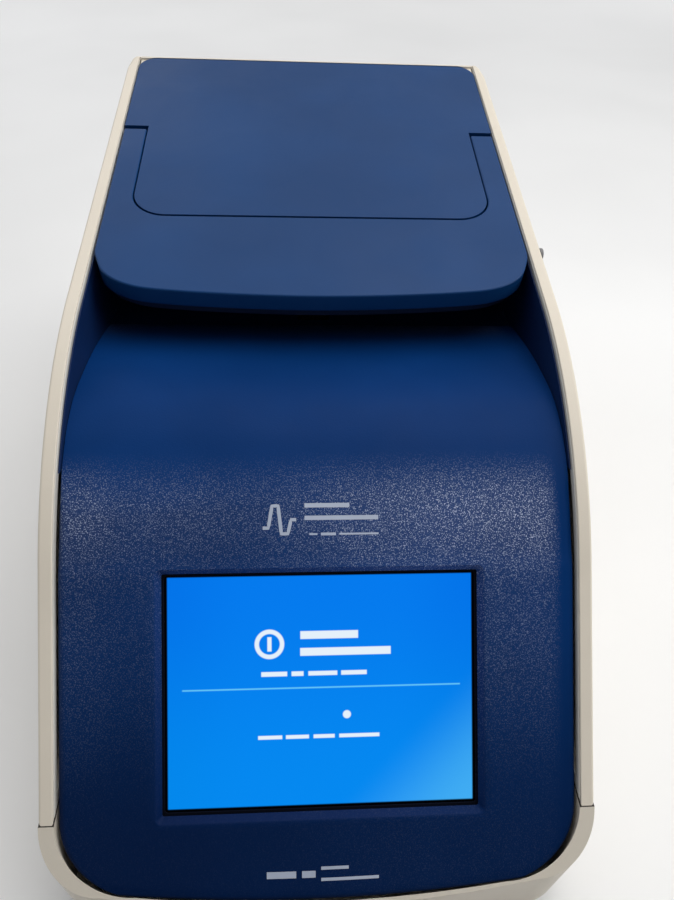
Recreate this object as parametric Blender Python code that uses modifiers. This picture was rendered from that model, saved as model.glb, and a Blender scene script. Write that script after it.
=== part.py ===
"""Desktop thermal cycler with a six-zone 96-well block, built as separate pieces.

Frame: +X to the right, +Y to the back, +Z up, origin under the middle of the
footprint, on the bench. Sizes are in millimetres and the model is in metres.
A piece gets a material; a shape without one is a hidden guide for a boolean.
"""
import math

import bmesh
import bpy
from mathutils import Matrix, Vector

MM = 0.001
COS_45 = math.sqrt(0.5)
SIDES = (("left", -1), ("right", 1))

# ------------------------------------------------------- driving dimensions
HALF_W = 118.5          # outer half width, over the side panels
HALF_D = 242.5          # half of the depth
PANEL_IN = 112.0        # inner face of a side panel
SEAM_Z = 70.5           # top of the base tray
PANEL_FOOT_Z = SEAM_Z + 0.4
SKIN = 3.0              # wall of the moulded covers

FACE_C = 286.0          # side edge of the 45 degree face: z = y + FACE_C
SLOPE = math.radians(9.67)          # slope of the lid
LID_Y0, LID_Z0 = -11.0, 207.4       # a point on the lid's top plane
FILLET_R = 215.0                    # side edge between face and lid line
FILLET_C = (11.1, -6.9)             # its centre (y, z)
FILLET_START, FILLET_END = -140.9, -25.0    # its ends in y

SCREEN = (-177.5, 105.8)            # centre of the screen window (y, z)
WINDOW_W, WINDOW_H = 136.6, 103.2   # screen window at its inner end
WINDOW_FLARE = 3.12                 # how much wider each side is at the outer end
FASCIA_HW = 111.2                   # half width of the fascia's face
FASCIA_BACK_HW = 110.9              # half width under the lid
LIP_HW = 78.0                       # half width at the fascia's lower lip
LIP_T = -84.0                       # the lip, up the face from the screen's centre
LIP_ROUND_T = -52.0                 # where the lip's round corners end
LIP_BOW = 5.0                       # sag of the lip in the middle

PIVOT = (184.2, 221.4)              # lid hinge (y, z)
LID_OPEN = 75.0                     # how far the lid opens, in degrees
BARREL_R = 28.8                     # the lid's rear turns in a cup of this radius
BARREL_RISE = 18.97                 # from the hinge up to the lid's top, square to the slope
LID_CORNER = 11.0                   # rear corners of the lid, seen from above
LID_HW = 110.9                      # half width of the lid and its handle
LID_POCKET_HW = 107.2               # half width of the space inside the lid's rear
KNUCKLE_R = 9.0                     # rounded ends of the parts on the hinge shaft
SHAFT_BORE_R = 4.4
BRACKET_X = (77.0, 85.0)            # hinge brackets, inner and outer face
LID_ARM_X = (60.0, 66.0)            # lid arms on the hinge shaft
LATCH_EAR_X = (7.0, 10.0)           # ears that hold the latch hook

HANDLE_T = 10.0                     # thickness of the handle
GRIP_T = 14.5                       # and along its front edge
ARM_IN = 97.6                       # inner edge of the handle's arms
ARM_CORNER = 19.0                   # radius of the handle's inner corners
ARM_END = 131.4                     # where the handle's arms end, along the lid
NOTCH_END = ARM_END + 3.0           # end of the room for them in the cover
HANDLE_GAP = 0.8                    # between the handle and the lid's cover
HANDLE_BORE_R = 2.6
SEAM_Y = 36.8                       # seam between the handle and the lid's cover
LATCH_PIVOT = (29.0, 196.0)         # latch hook hinge (y, z)
ROCKER_PIVOT = (-83.0, 236.5, 116.0)    # power rocker hinge

STAND_Z = 11.8                      # foot of the parts that stand on the chassis
BLOCK_Y = 85.0                      # centre of the sample block
BLOCK_TOP = 166.0
BLOCK_H = 20.0
WELL_PITCH = 9.0
WELL_ROWS = 8
ZONES = 6
ZONE_COLUMNS = 2                    # columns of wells in a zone
FAN_CENTRE = (0, BLOCK_Y, 52.5)     # fan under the heat sink
REAR_FAN_CENTRE = (0, 217.5, 110.0)

SINK_HW = 74.0                      # heat sink: half width, bottom, top
SINK_Z0, SINK_Z1 = 70.0, 141.0
SINK_BASE = 12.0                    # solid plate above the fins
FIN_T, FIN_COUNT = 2.4, 17

# Rear outline of the side panels and the rear panel, top to bottom (y, z)
REAR = [
    (202.5, 243.9), (207.0, 243.4), (211.5, 241.0), (216.0, 236.6), (223.0, 226.0),
    (230.5, 207.0), (236.8, 180.0), (240.8, 150.0), (HALF_D, 120.0), (HALF_D, SEAM_Z + 0.5),
]
# Front edge of the handle, middle to side (x, y)
HANDLE_FRONT = [
    (0, -23.8), (30, -23.1), (56, -21.6), (75, -19.9), (86, -18.2),
    (94, -15.4), (100, -11.8), (105.2, -6.5), (108.4, 0.5), (LID_HW, 9.0),
]

# ------------------------------------------------------------------- scene
for old in list(bpy.data.objects):
    bpy.data.objects.remove(old, do_unlink=True)


def collection(name):
    """A new collection under the scene's own."""
    coll = bpy.data.collections.new(name)
    bpy.context.scene.collection.children.link(coll)
    return coll


PARTS = collection("thermal_cycler")
GUIDES = collection("cutters_and_guides")


def material(name, colour, roughness=0.5, metallic=0.0):
    """A Principled material from a display colour."""
    mat = bpy.data.materials.new(name)
    mat.use_nodes = True
    bsdf = mat.node_tree.nodes["Principled BSDF"]
    linear = [c / 12.92 if c <= 0.04045 else ((c + 0.055) / 1.055) ** 2.4 for c in colour]
    bsdf.inputs["Base Color"].default_value = (*linear, 1.0)
    bsdf.inputs["Roughness"].default_value = roughness
    bsdf.inputs["Metallic"].default_value = metallic
    mat.diffuse_color = (*linear, 1.0)
    return mat


BLUE = material("blue_plastic", (0.10, 0.21, 0.42), roughness=0.45)
BEIGE = material("beige_plastic", (0.80, 0.77, 0.71), roughness=0.55)
BLACK = material("black_plastic", (0.05, 0.05, 0.055))
RUBBER = material("black_rubber", (0.04, 0.04, 0.04), roughness=0.85)
GLASS = material("touch_glass", (0.0, 0.50, 0.95), roughness=0.08)
ALU = material("anodised_aluminium", (0.78, 0.79, 0.80), roughness=0.35, metallic=0.9)
STEEL = material("zinc_plated_steel", (0.66, 0.67, 0.68), roughness=0.35, metallic=1.0)
CERAMIC = material("white_ceramic", (0.92, 0.92, 0.90))
FOAM = material("insulating_foam", (0.16, 0.16, 0.17), roughness=0.9)
PCB = material("circuit_board", (0.05, 0.30, 0.16))
HEATER_MAT = material("heater_mat", (0.80, 0.42, 0.12))
GREY = material("grey_plastic", (0.45, 0.45, 0.46))


# ----------------------------------------------------------- solid helpers
def add(name, shape, mat=None):
    """An object from a bmesh in millimetres, its origin in its middle."""
    bmesh.ops.recalc_face_normals(shape, faces=shape.faces)
    lows = [min(v.co[i] for v in shape.verts) for i in range(3)]
    highs = [max(v.co[i] for v in shape.verts) for i in range(3)]
    middle = Vector([(low + high) / 2 for low, high in zip(lows, highs)])
    bmesh.ops.translate(shape, verts=shape.verts, vec=-middle)
    bmesh.ops.scale(shape, verts=shape.verts, vec=(MM, MM, MM))
    mesh = bpy.data.meshes.new(name)
    shape.to_mesh(mesh)
    shape.free()
    obj = bpy.data.objects.new(name, mesh)
    obj.location = middle * MM
    if mat:
        PARTS.objects.link(obj)
        mesh.materials.append(mat)
    else:
        GUIDES.objects.link(obj)
        obj.hide_render = True
        obj.display_type = "WIRE"
    return obj


def around(half, middle=0.0):
    """A (low, high) pair centred on a value."""
    return (middle - half, middle + half)


def inset(pair, wall):
    """A (low, high) pair drawn in at both ends."""
    return (pair[0] + wall, pair[1] - wall)


def on_side(side, inner, outer):
    """The (low, high) pair in x between two distances out to one side."""
    return sorted((side * inner, side * outer))


def box(name, x, y, z, mat=None, matrix=None):
    """A box from three (low, high) pairs, placed by an optional matrix."""
    shape = bmesh.new()
    bmesh.ops.create_cube(shape, size=1.0)
    pairs = (x, y, z)
    bmesh.ops.scale(shape, verts=shape.verts, vec=[high - low for low, high in pairs])
    bmesh.ops.translate(shape, verts=shape.verts, vec=[(low + high) / 2 for low, high in pairs])
    if matrix:
        bmesh.ops.transform(shape, matrix=matrix, verts=shape.verts)
    return add(name, shape, mat)


# Turns that lay local z along an axis
AXES = {
    "X": Matrix.Rotation(math.pi / 2, 4, "Y"),
    "Y": Matrix.Rotation(-math.pi / 2, 4, "X"),
    "Z": Matrix.Identity(4),
}


def drum(name, matrix, radius, length, segments, mat=None, top_radius=None):
    """A cylinder, or a cone with top_radius, centred in a frame along its z."""
    shape = bmesh.new()
    bmesh.ops.create_cone(shape, cap_ends=True, segments=segments, radius1=radius,
                          radius2=radius if top_radius is None else top_radius, depth=length)
    bmesh.ops.transform(shape, matrix=matrix, verts=shape.verts)
    return add(name, shape, mat)


def cyl(name, centre, axis, radius, length, segments, mat=None, top_radius=None):
    """A cylinder or cone centred at a point, along one axis."""
    place = Matrix.Translation(centre) @ AXES[axis]
    return drum(name, place, radius, length, segments, mat, top_radius)


def shade(obj, angle=35):
    """Round faces smooth, real corners sharp."""
    obj.data.shade_smooth()
    obj.data.set_sharp_from_angle(angle=math.radians(angle))
    return obj


def from_curve(name, data, frame, mat):
    """Turn curve data into a closed welded mesh in the given frame."""
    obj = bpy.data.objects.new(name, data)
    GUIDES.objects.link(obj)
    bpy.context.view_layer.update()
    depsgraph = bpy.context.evaluated_depsgraph_get()
    mesh = bpy.data.meshes.new_from_object(obj.evaluated_get(depsgraph))
    shape = bmesh.new()
    shape.from_mesh(mesh)
    bmesh.ops.remove_doubles(shape, verts=shape.verts, dist=0.01)
    bmesh.ops.transform(shape, matrix=frame, verts=shape.verts)
    bpy.data.objects.remove(obj, do_unlink=True)
    bpy.data.curves.remove(data)
    bpy.data.meshes.remove(mesh)
    return add(name, shape, mat)


def add_spline(data, points):
    """A straight-sided spline through (x, y, z) points."""
    spline = data.splines.new("POLY")
    spline.points.add(len(points) - 1)
    for target, point in zip(spline.points, points):
        target.co = (*point, 1.0)
    return spline


# Frames for outlines: (y, z) with thickness along x, (x, z) along y, (x, y) along z
SIDE_VIEW = Matrix(((0, 0, 1, 0), (1, 0, 0, 0), (0, 1, 0, 0), (0, 0, 0, 1)))
FRONT_VIEW = Matrix(((1, 0, 0, 0), (0, 0, 1, 0), (0, 1, 0, 0), (0, 0, 0, 1)))
PLAN = Matrix.Identity(4)


def outline(name, points, frame, span, mat=None):
    """A flat outline in a frame, given thickness over a (low, high) span."""
    low, high = span
    data = bpy.data.curves.new(name, "CURVE")
    data.dimensions = "2D"
    data.fill_mode = "BOTH"
    data.extrude = (high - low) / 2
    add_spline(data, [(*point, 0.0) for point in points]).use_cyclic_u = True
    return from_curve(name, data, frame @ Matrix.Translation((0, 0, (low + high) / 2)), mat)


def wire(name, points, radius, mat):
    """A round wire through points."""
    data = bpy.data.curves.new(name, "CURVE")
    data.dimensions = "3D"
    data.bevel_depth = radius
    data.bevel_resolution = 2
    data.use_fill_caps = True
    add_spline(data, points)
    return shade(from_curve(name, data, Matrix.Identity(4), mat), 60)


def moulded_shell(name, columns, rows, place, outward, mat, even, crease):
    """A grid laid out by place(column, row) and thickened inwards by the skin.

    outward is the index of the axis that the outer face looks along.
    """
    shape = bmesh.new()
    bmesh.ops.create_grid(shape, x_segments=columns - 1, y_segments=rows - 1, size=1.0)
    for v in shape.verts:
        i = round((v.co.x + 1) / 2 * (columns - 1))
        j = round((v.co.y + 1) / 2 * (rows - 1))
        v.co = Vector(place(i, j))
    shape.normal_update()
    if sum(face.normal[outward] for face in shape.faces) < 0:
        bmesh.ops.reverse_faces(shape, faces=shape.faces)
    bmesh.ops.scale(shape, verts=shape.verts, vec=(MM, MM, MM))
    mesh = bpy.data.meshes.new(name)
    shape.to_mesh(mesh)
    shape.free()
    obj = bpy.data.objects.new(name, mesh)
    PARTS.objects.link(obj)
    mesh.materials.append(mat)
    shell = obj.modifiers.new("shell", "SOLIDIFY")
    shell.thickness = SKIN * MM
    shell.offset = -1.0
    shell.use_even_offset = even
    return shade(obj, crease)


def boolean(obj, operation, tools):
    """One boolean modifier for each tool."""
    for tool in tools:
        mod = obj.modifiers.new(operation.lower(), "BOOLEAN")
        mod.operation = operation
        mod.solver = "EXACT"
        mod.object = tool
    return obj


def cut(obj, *tools):
    return boolean(obj, "DIFFERENCE", tools)


def fuse(obj, *tools):
    return boolean(obj, "UNION", tools)


def bevel(obj, width, angle=40):
    """Chamfer the edges sharper than an angle."""
    mod = obj.modifiers.new("rounded_edges", "BEVEL")
    mod.width = width * MM
    mod.segments = 1
    mod.limit_method = "ANGLE"
    mod.angle_limit = math.radians(angle)
    return obj


def join(name, guides):
    """Several separate guides as one guide."""
    shape = bmesh.new()
    for guide in guides:
        guide.data.transform(Matrix.Translation(guide.location))
        shape.from_mesh(guide.data)
        bpy.data.objects.remove(guide, do_unlink=True)
    bmesh.ops.scale(shape, verts=shape.verts, vec=(1 / MM,) * 3)
    return add(name, shape)


def pivot(name, centre):
    """An empty on a joint's axis."""
    empty = bpy.data.objects.new(name, None)
    empty.empty_display_size = 0.01
    empty.location = Vector(centre) * MM
    PARTS.objects.link(empty)
    return empty


def hang(empty, *children):
    """Put pieces under a joint's empty without moving them."""
    bpy.context.view_layer.update()
    for child in children:
        child.parent = empty
        child.matrix_parent_inverse = empty.matrix_world.inverted()


# -------------------------------------------------------- outline helpers
def mirrored(points):
    """Half an outline and its mirror image in x; points with x = 0 aren't repeated."""
    return points + [(-x, y) for x, y in reversed(points) if x]


def arc(centre, radius, start, end, steps):
    """Points on an arc, angles in degrees."""
    angles = [math.radians(start + (end - start) * i / steps) for i in range(steps + 1)]
    return [(centre[0] + radius * math.cos(a), centre[1] + radius * math.sin(a)) for a in angles]


def smooth(start, end, value):
    """0 before start, 1 after end, eased between."""
    part = min(1.0, max(0.0, (value - start) / (end - start)))
    return part * part * (3 - 2 * part)


def lid_z(y):
    """Height of the lid's top plane."""
    return LID_Z0 + math.tan(SLOPE) * (y - LID_Y0)


def along_lid(y):
    """Distance along the lid's slope at depth y on its top plane."""
    return (y - LID_Y0) / math.cos(SLOPE)


def on_lid(along, above):
    """(y, z) of a point along the lid's slope and above its top plane."""
    return (LID_Y0 + along * math.cos(SLOPE) - above * math.sin(SLOPE),
            LID_Z0 + along * math.sin(SLOPE) + above * math.cos(SLOPE))


def side_z(y):
    """Height of a side panel's top edge."""
    if y <= FILLET_START:
        return y + FACE_C
    if y <= FILLET_END:
        return FILLET_C[1] + math.sqrt(FILLET_R ** 2 - (y - FILLET_C[0]) ** 2)
    return lid_z(y)


HANDLE_PIVOT = on_lid(126.2, -5.6)      # handle hinge (y, z)
# Lid frame: x, y along the slope, z above the top plane. Face frame: the same for
# the 45 degree face, from the screen's centre.
LID_FRAME = Matrix.Translation((0, LID_Y0, LID_Z0)) @ Matrix.Rotation(SLOPE, 4, "X")
TILT_45 = Matrix.Rotation(math.radians(45), 4, "X")
FACE_FRAME = Matrix.Translation((0, *SCREEN)) @ TILT_45


# ------------------------------------------------------------- side panels
def panel_outline(wall=0.0):
    """(y, z) outline of a side panel, drawn in by a wall."""
    points = [(PANEL_FOOT_Z - FACE_C, PANEL_FOOT_Z)]
    stations = (-180.0, FILLET_START, -128, -112, -96, -80, -62, -44, FILLET_END)
    points += [(y, side_z(y)) for y in stations]
    points += REAR[:-1] + [(HALF_D, PANEL_FOOT_Z)]
    if not wall:
        return points
    drawn_in = []
    for i, point in enumerate(points):
        before, here = Vector(points[i - 1]), Vector(point)
        after = Vector(points[(i + 1) % len(points)])
        arrive, leave = (here - before).normalized(), (after - here).normalized()
        arrive_normal = Vector((arrive.y, -arrive.x))
        mitre = (arrive_normal + Vector((leave.y, -leave.x))).normalized()
        drawn_in.append(tuple(here + mitre * (wall / max(0.35, mitre.dot(arrive_normal)))))
    return drawn_in


for word, side in SIDES:
    name = f"side_panel_{word}"
    panel = outline(name, panel_outline(), SIDE_VIEW, on_side(side, PANEL_IN, HALF_W), BEIGE)
    bevel(panel, 1.2)
    cut(panel, outline(name + "_pocket", panel_outline(4.0), SIDE_VIEW,
                       on_side(side, PANEL_IN - 5, HALF_W - SKIN)))
shade(cyl("side_plug", (HALF_W + 1.35, 15.0, 207.2), "X", 3.3, 2.1, 20, GREY))


# --------------------------------------------------------------- base tray
def tray_outline(wall=0.0):
    """(x, y) outline of the base: bowed front, round front corners."""
    half, back = HALF_W - wall, HALF_D - wall
    front = []
    for i in range(7):
        a = math.pi / 2 * i / 6
        front.append((-half + 25 * (1 - math.cos(a)), -216.0 - (21.0 - wall) * math.sin(a)))
    for x in (-75.0, -55.0, -35.0, 0.0):
        front.append((x, -HALF_D + wall + 5.5 * (x / 93.5) ** 2))
    rear_corners = [(half, back - 5), (half - 5, back), (-half + 5, back), (-half, back - 5)]
    return rear_corners + mirrored(front)


def fascia_half_width(up):
    """Half width of the face at a distance up its slope from the screen's centre."""
    if up > LIP_ROUND_T:
        return FASCIA_HW
    part = (LIP_ROUND_T - up) / (LIP_ROUND_T - LIP_T)
    return LIP_HW + (FASCIA_HW - LIP_HW) * math.sqrt(max(0.0, 1 - part ** 2))


def rim_pocket():
    """(x, y) outline of the space the fascia fills inside the base's rim."""
    half = [(PANEL_IN, HALF_D - SKIN)]
    for up in (-52, -59, -66, -72, -77.5, -81.6, LIP_T):
        half.append((fascia_half_width(up) + 0.8, SCREEN[0] + (up - 0.6) * COS_45))
    for x in (62.0, 42.0, 0.0):
        half.append((x, SCREEN[0] - (89.7 - LIP_BOW * (x / LIP_HW) ** 2) * COS_45))
    return mirrored(half)


tray = outline("base_tray", tray_outline(), PLAN, (6.0, SEAM_Z), BEIGE)
bevel(tray, 1.5, 60)
cut(tray,
    outline("tray_pocket", tray_outline(SKIN), PLAN, (9.0, 35.0)),
    outline("tray_rim_pocket", rim_pocket(), PLAN, (34.0, 80.0)),
    box("above_face", around(140), (-120, 60), (0, 80),
        matrix=Matrix.Translation((0, SEAM_Z - FACE_C, SEAM_Z)) @ TILT_45),
    join("floor_vents", [box(f"floor_vent_{i}", around(36), (57 + 9 * i, 61 + 9 * i), (4, 11))
                         for i in range(7)]))

for i, (x, y) in enumerate(((-96, -202), (96, -202), (-96, 216), (96, 216)), 1):
    shade(cyl(f"foot_{i}", (x, y, 2.85), "Z", 10.0, 5.7, 20, RUBBER, top_radius=11.0))

# ------------------------------------------------------------------ fascia
# Stations up the 45 degree face, from the screen's centre
FACE_STATIONS = (LIP_T, -83.0, -81.0, -78, -73.5, -68, -60, LIP_ROUND_T, -46.0, 0.0, 45.0, 52.0)
# The surface behind the face, front to back (y, z)
BEHIND_FACE = (
    (-136, 146.2), (-127, 153.7), (-118, 160.4), (-108, 166.9), (-97, 172.9), (-86, 177.3),
    (-71, 180.2), (-52, 179.4), (-26, 175.6), (0, 169.2), (7.8, 166.6),
)
PAST_FACE = 60.0        # distance up the face given to every row behind it
# Columns from the middle to one side, as parts of the half width
HALF_COLUMNS = [0.0, 0.18, 0.36, 0.54, 0.70, 0.82, 0.90, 0.945, 0.975, 0.992, 1.0]
EDGE_W = 8.0            # width of the rolled edge


def fascia():
    """The blue front: sagging lower lip, rolled edges, then back under the lid."""
    rows = [(SCREEN[0] + up * COS_45, SCREEN[1] + up * COS_45, up) for up in FACE_STATIONS]
    rows += [(y, z, PAST_FACE) for y, z in BEHIND_FACE]
    columns = [-part for part in reversed(HALF_COLUMNS[1:])] + HALF_COLUMNS

    def place(i, j):
        y, z, up = rows[j]
        part = columns[i]
        half = fascia_half_width(up)
        half += (FASCIA_BACK_HW - FASCIA_HW) * smooth(-122, -110, y)
        x = part * half
        sag = LIP_BOW * (1 - part * part) * (1 - smooth(LIP_T, LIP_ROUND_T, up))
        edge = min(half - abs(x), (up - LIP_T) * 1.15)
        drop = 0.0
        if edge < EDGE_W:
            roll = 8.0 * (1 - smooth(-128, -104, y))
            outer = 1 - edge / EDGE_W
            drop = roll * (1 - math.sqrt(max(0.0, 1 - outer * outer))) * 0.88
        return (x, y - sag * COS_45 + drop * COS_45, z - sag * COS_45 - drop * COS_45)

    return moulded_shell("front_fascia", len(columns), len(rows), place, 2, BLUE,
                         even=False, crease=60)


def screen_window():
    """Cutter for the window, widening outwards."""
    shape = bmesh.new()
    bmesh.ops.create_cube(shape, size=2.0)
    for v in shape.verts:
        flare, height = (0.0, -4.0) if v.co.z < 0 else (WINDOW_FLARE, 1.2)
        v.co = Vector((math.copysign(WINDOW_W / 2 + flare, v.co.x),
                       math.copysign(WINDOW_H / 2 + flare, v.co.y), height))
    bmesh.ops.transform(shape, matrix=FACE_FRAME, verts=shape.verts)
    return add("screen_window", shape)


cut(fascia(), screen_window())


# ------------------------------- display stack behind the window, outside in
def on_face(name, x, up, out, mat=None):
    """A box in the face's frame: up its slope, out from its surface."""
    return box(name, x, up, out, mat, FACE_FRAME)


gasket = on_face("display_gasket", around(73), (-57, 55), (-4.6, -3.8), RUBBER)
cut(gasket, on_face("gasket_hole", around(66.6), around(50.2), (-6, 0)))
on_face("touch_glass", around(73), (-57, 55), (-6.5, -4.9), GLASS)
bevel(on_face("display_module", around(75), (-58, 55), (-14.0, -6.8), STEEL), 0.8)
bracket = on_face("display_bracket", around(84), (-62, 60), (-16.5, -14.3), STEEL)
cut(bracket, on_face("bracket_hole", around(55), around(42), (-20, -10)))
board = on_face("control_board", around(74), around(52), (-22.7, -21.1), PCB)
fuse(board,
     on_face("control_chip", (-20, 8), around(14), (-21.5, -18.7)),
     on_face("control_socket", (30, 62), (-40, -30), (-21.5, -17.5)))

# -------------------------------------------------------------- rear panel
CUP_HW = 111.4          # half width of the room for the lid
THROUGH_REAR = (225, 250)       # y span of a cutter through the rear panel
# Holes for the ports and the switch: x span, z span
PORT_HOLES = {
    "inlet": ((-99, -67), (76, 101)),
    "switch": ((-94, -72), (106, 126)),
    "ethernet": ((66, 84), (78, 94)),
    "usb": ((66, 82), (102, 111)),
}


def rear_shell():
    """The rear panel: a rim at the top, then down to the base."""
    edges = around(PANEL_IN - 0.4)
    return moulded_shell("rear_panel", 2, len(REAR), lambda i, j: (edges[i], *REAR[j]), 1,
                         BEIGE, even=True, crease=40)


def lid_radius(x):
    """Radius about the hinge of the lid's rear at half width x, for round corners."""
    out = math.sqrt(BARREL_R ** 2 - BARREL_RISE ** 2)
    flat = LID_HW - LID_CORNER
    if x > flat:
        out += math.sqrt(max(0.0, LID_CORNER ** 2 - (x - flat) ** 2)) - LID_CORNER
    return math.hypot(BARREL_RISE, out)


def turned(name, half, grow):
    """A solid turned about the hinge: the lid's rear, grown by a distance."""
    stations = (99.2, 102.0, 104.7, 106.9, 108.9, 110.2)
    profile = [(x, lid_radius(x) + grow) for x in stations if x < half]
    profile.append((half, lid_radius(min(half, LID_HW)) + grow))
    line = [(-half, 0.0)] + [(-x, radius) for x, radius in reversed(profile)]
    line += profile + [(half, 0.0)]
    shape = bmesh.new()
    verts = [shape.verts.new((x, PIVOT[0] + radius, PIVOT[1])) for x, radius in line]
    edges = [shape.edges.new(pair) for pair in zip(verts, verts[1:])]
    bmesh.ops.spin(shape, geom=verts + edges, cent=(0, *PIVOT), axis=(1, 0, 0),
                   dvec=(0, 0, 0), angle=2 * math.pi, steps=36, use_merge=True,
                   use_duplicate=False)
    bmesh.ops.remove_doubles(shape, verts=shape.verts, dist=0.01)
    return add(name, shape)


rear = rear_shell()
for word, side in SIDES:
    fuse(rear, box(f"rim_corner_{word[0]}", on_side(side, 96.0, 111.0), (199, 220.0),
                   (-8.0, -1.2), matrix=LID_FRAME))
# The lid's frame when the lid is fully open
opened_frame = (Matrix.Translation((0, *PIVOT))
                @ Matrix.Rotation(math.radians(-LID_OPEN), 4, "X")
                @ Matrix.Translation((0, -PIVOT[0], -PIVOT[1])) @ LID_FRAME)
cut(rear,
    turned("lid_cup", CUP_HW, 0.8),
    box("opened_lid", around(CUP_HW), (90, 198), (-20.0, 0.7), matrix=opened_frame),
    join("exhaust_slots", [
        box(f"exhaust_slot_{row}_{column}", (-42 + 44 * column, -2 + 44 * column),
            THROUGH_REAR, (74 + 8 * row, 78 + 8 * row))
        for row in range(9) for column in range(2)]))
for name, (x, z) in PORT_HOLES.items():
    cut(rear, box(f"{name}_hole", x, THROUGH_REAR, z))


# --------------------------------- ports and switch, just inside the back
def port(name, hole, gap, y, mat, socket, walls, socket_y):
    """A body with a gap all round in its hole, hollowed from the back.

    walls is the distance from the hole's edge to the socket's, in x and in z.
    """
    x, z = PORT_HOLES[hole]
    body = box(name, inset(x, gap), y, inset(z, gap), mat)
    return cut(body, box(socket, inset(x, walls[0]), (socket_y, 250), inset(z, walls[1])))


inlet = port("power_inlet", "inlet", 0.3, (222, 242.3), BLACK, "inlet_socket", (4, 4), 227)
for i, (x, z) in enumerate(((-90, 86), (-83, 91), (-76, 86))):
    fuse(inlet, box(f"inlet_pin_{i}", around(1, x), (226, 238), around(2, z)))
port("switch_bezel", "switch", 0.3, (226, 242.3), BLACK, "switch_well", (3, 2.2), 228)
port("ethernet_port", "ethernet", 0.4, (222, 242.2), STEEL, "ethernet_socket", (2.6, 2.6), 230)
port("usb_port", "usb", 0.4, (226, 242.2), STEEL, "usb_socket", (1.6, 1.6), 230)
tilt = (Matrix.Translation((0, *ROCKER_PIVOT[1:]))
        @ Matrix.Rotation(math.radians(8), 4, "X"))
rocker = box("power_rocker", around(7.4, ROCKER_PIVOT[0]), (-2.5, 5.2), around(6.6), BLACK, tilt)
bevel(rocker, 0.6)

# --------------------------------------------------- chassis and electronics
chassis = box("chassis_plate", around(108), (-214, 236), (9.4, 11.4), STEEL)
cut(chassis, cyl("fan_intake", (0, BLOCK_Y, 10), "Z", 41, 8, 24))

supply = box("power_supply", (-98, -20), (-150, -6), (STAND_Z, 58), STEEL)
cut(supply, join("psu_vents", [
    box(f"psu_vent_{i}", (-88 + 12 * i, -82 + 12 * i), (-140, -20), (56, 60))
    for i in range(5)]))

driver = box("driver_board", (10, 100), (-150, 6), (20, 21.6), PCB)
fuse(driver,
     box("driver_sink", (20, 52), (-130, -40), (21, 44)),
     box("driver_relay", (64, 84), (-120, -84), (21, 38)),
     box("driver_caps", (64, 86), (-60, -30), (21, 46)),
     box("driver_foot", (14, 96), (-146, 2), (STAND_Z, 20.4)))


# ----------------------------------------------------------------- cooling
def sink_section():
    """(x, z) outline of the heat sink, fins pointing down."""
    pitch = (2 * SINK_HW - FIN_T) / (FIN_COUNT - 1)
    root = SINK_Z1 - SINK_BASE
    fins = []
    for i in range(FIN_COUNT):
        x = -SINK_HW + i * pitch
        fins += [(x, root), (x, SINK_Z0), (x + FIN_T, SINK_Z0), (x + FIN_T, root)]
    return [(-SINK_HW, SINK_Z1)] + fins[1:-1] + [(SINK_HW, SINK_Z1)]


outline("heat_sink", sink_section(), FRONT_VIEW, around(53, BLOCK_Y), ALU)

duct = box("air_duct", around(75), (140.5, 203.5), (66, 144), BLACK)
cut(duct, box("duct_bore", around(73), (130, 210), (68, 142)))


def fan_frame(name, centre, axis):
    """An axial fan's frame: square rim, round bore, hub on two crossed struts."""
    place = Matrix.Translation(centre) @ AXES[axis]
    frame = box(name, around(46), around(46), around(12.5), BLACK, place)
    cut(frame, drum(name + "_bore", place, 43, 40, 32))
    hub_place = place @ Matrix.Translation((0, 0, -10.5))
    fuse(frame, drum(name + "_hub", hub_place, 16, 4, 16))
    struts = (("a", (-12.0, -9.2), 0.7), ("b", (-11.8, -9.4), 0.7 + math.pi / 2))
    for tag, z, angle in struts:
        fuse(frame, box(f"{name}_strut_{tag}", around(44.5), around(2), z,
                        matrix=place @ Matrix.Rotation(angle, 4, "Z")))


def fan_rotor(name, centre, axis, blades=7):
    """Hub and pitched blades, turning on the fan's own axis."""
    place = Matrix.Translation(centre) @ AXES[axis]
    lift = Matrix.Translation((0, 0, 1))
    pitch = Matrix.Rotation(math.radians(38), 4, "X")
    rotor = drum(name, place @ lift, 18, 18, 24, BLACK)
    vanes = []
    for i in range(blades):
        turn = Matrix.Rotation(2 * math.pi * i / blades, 4, "Z")
        vanes.append(box(f"{name}_blade_{i}", (15, 41), around(9), around(0.9),
                         matrix=place @ (turn @ lift @ pitch)))
    return fuse(rotor, join(name + "_blades", vanes))


fan_frame("cooling_fan_frame", FAN_CENTRE, "Z")
cooling_rotor = fan_rotor("cooling_fan_rotor", FAN_CENTRE, "Z")
fan_frame("rear_fan_frame", REAR_FAN_CENTRE, "Y")
rear_rotor = fan_rotor("rear_fan_rotor", REAR_FAN_CENTRE, "Y")


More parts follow.
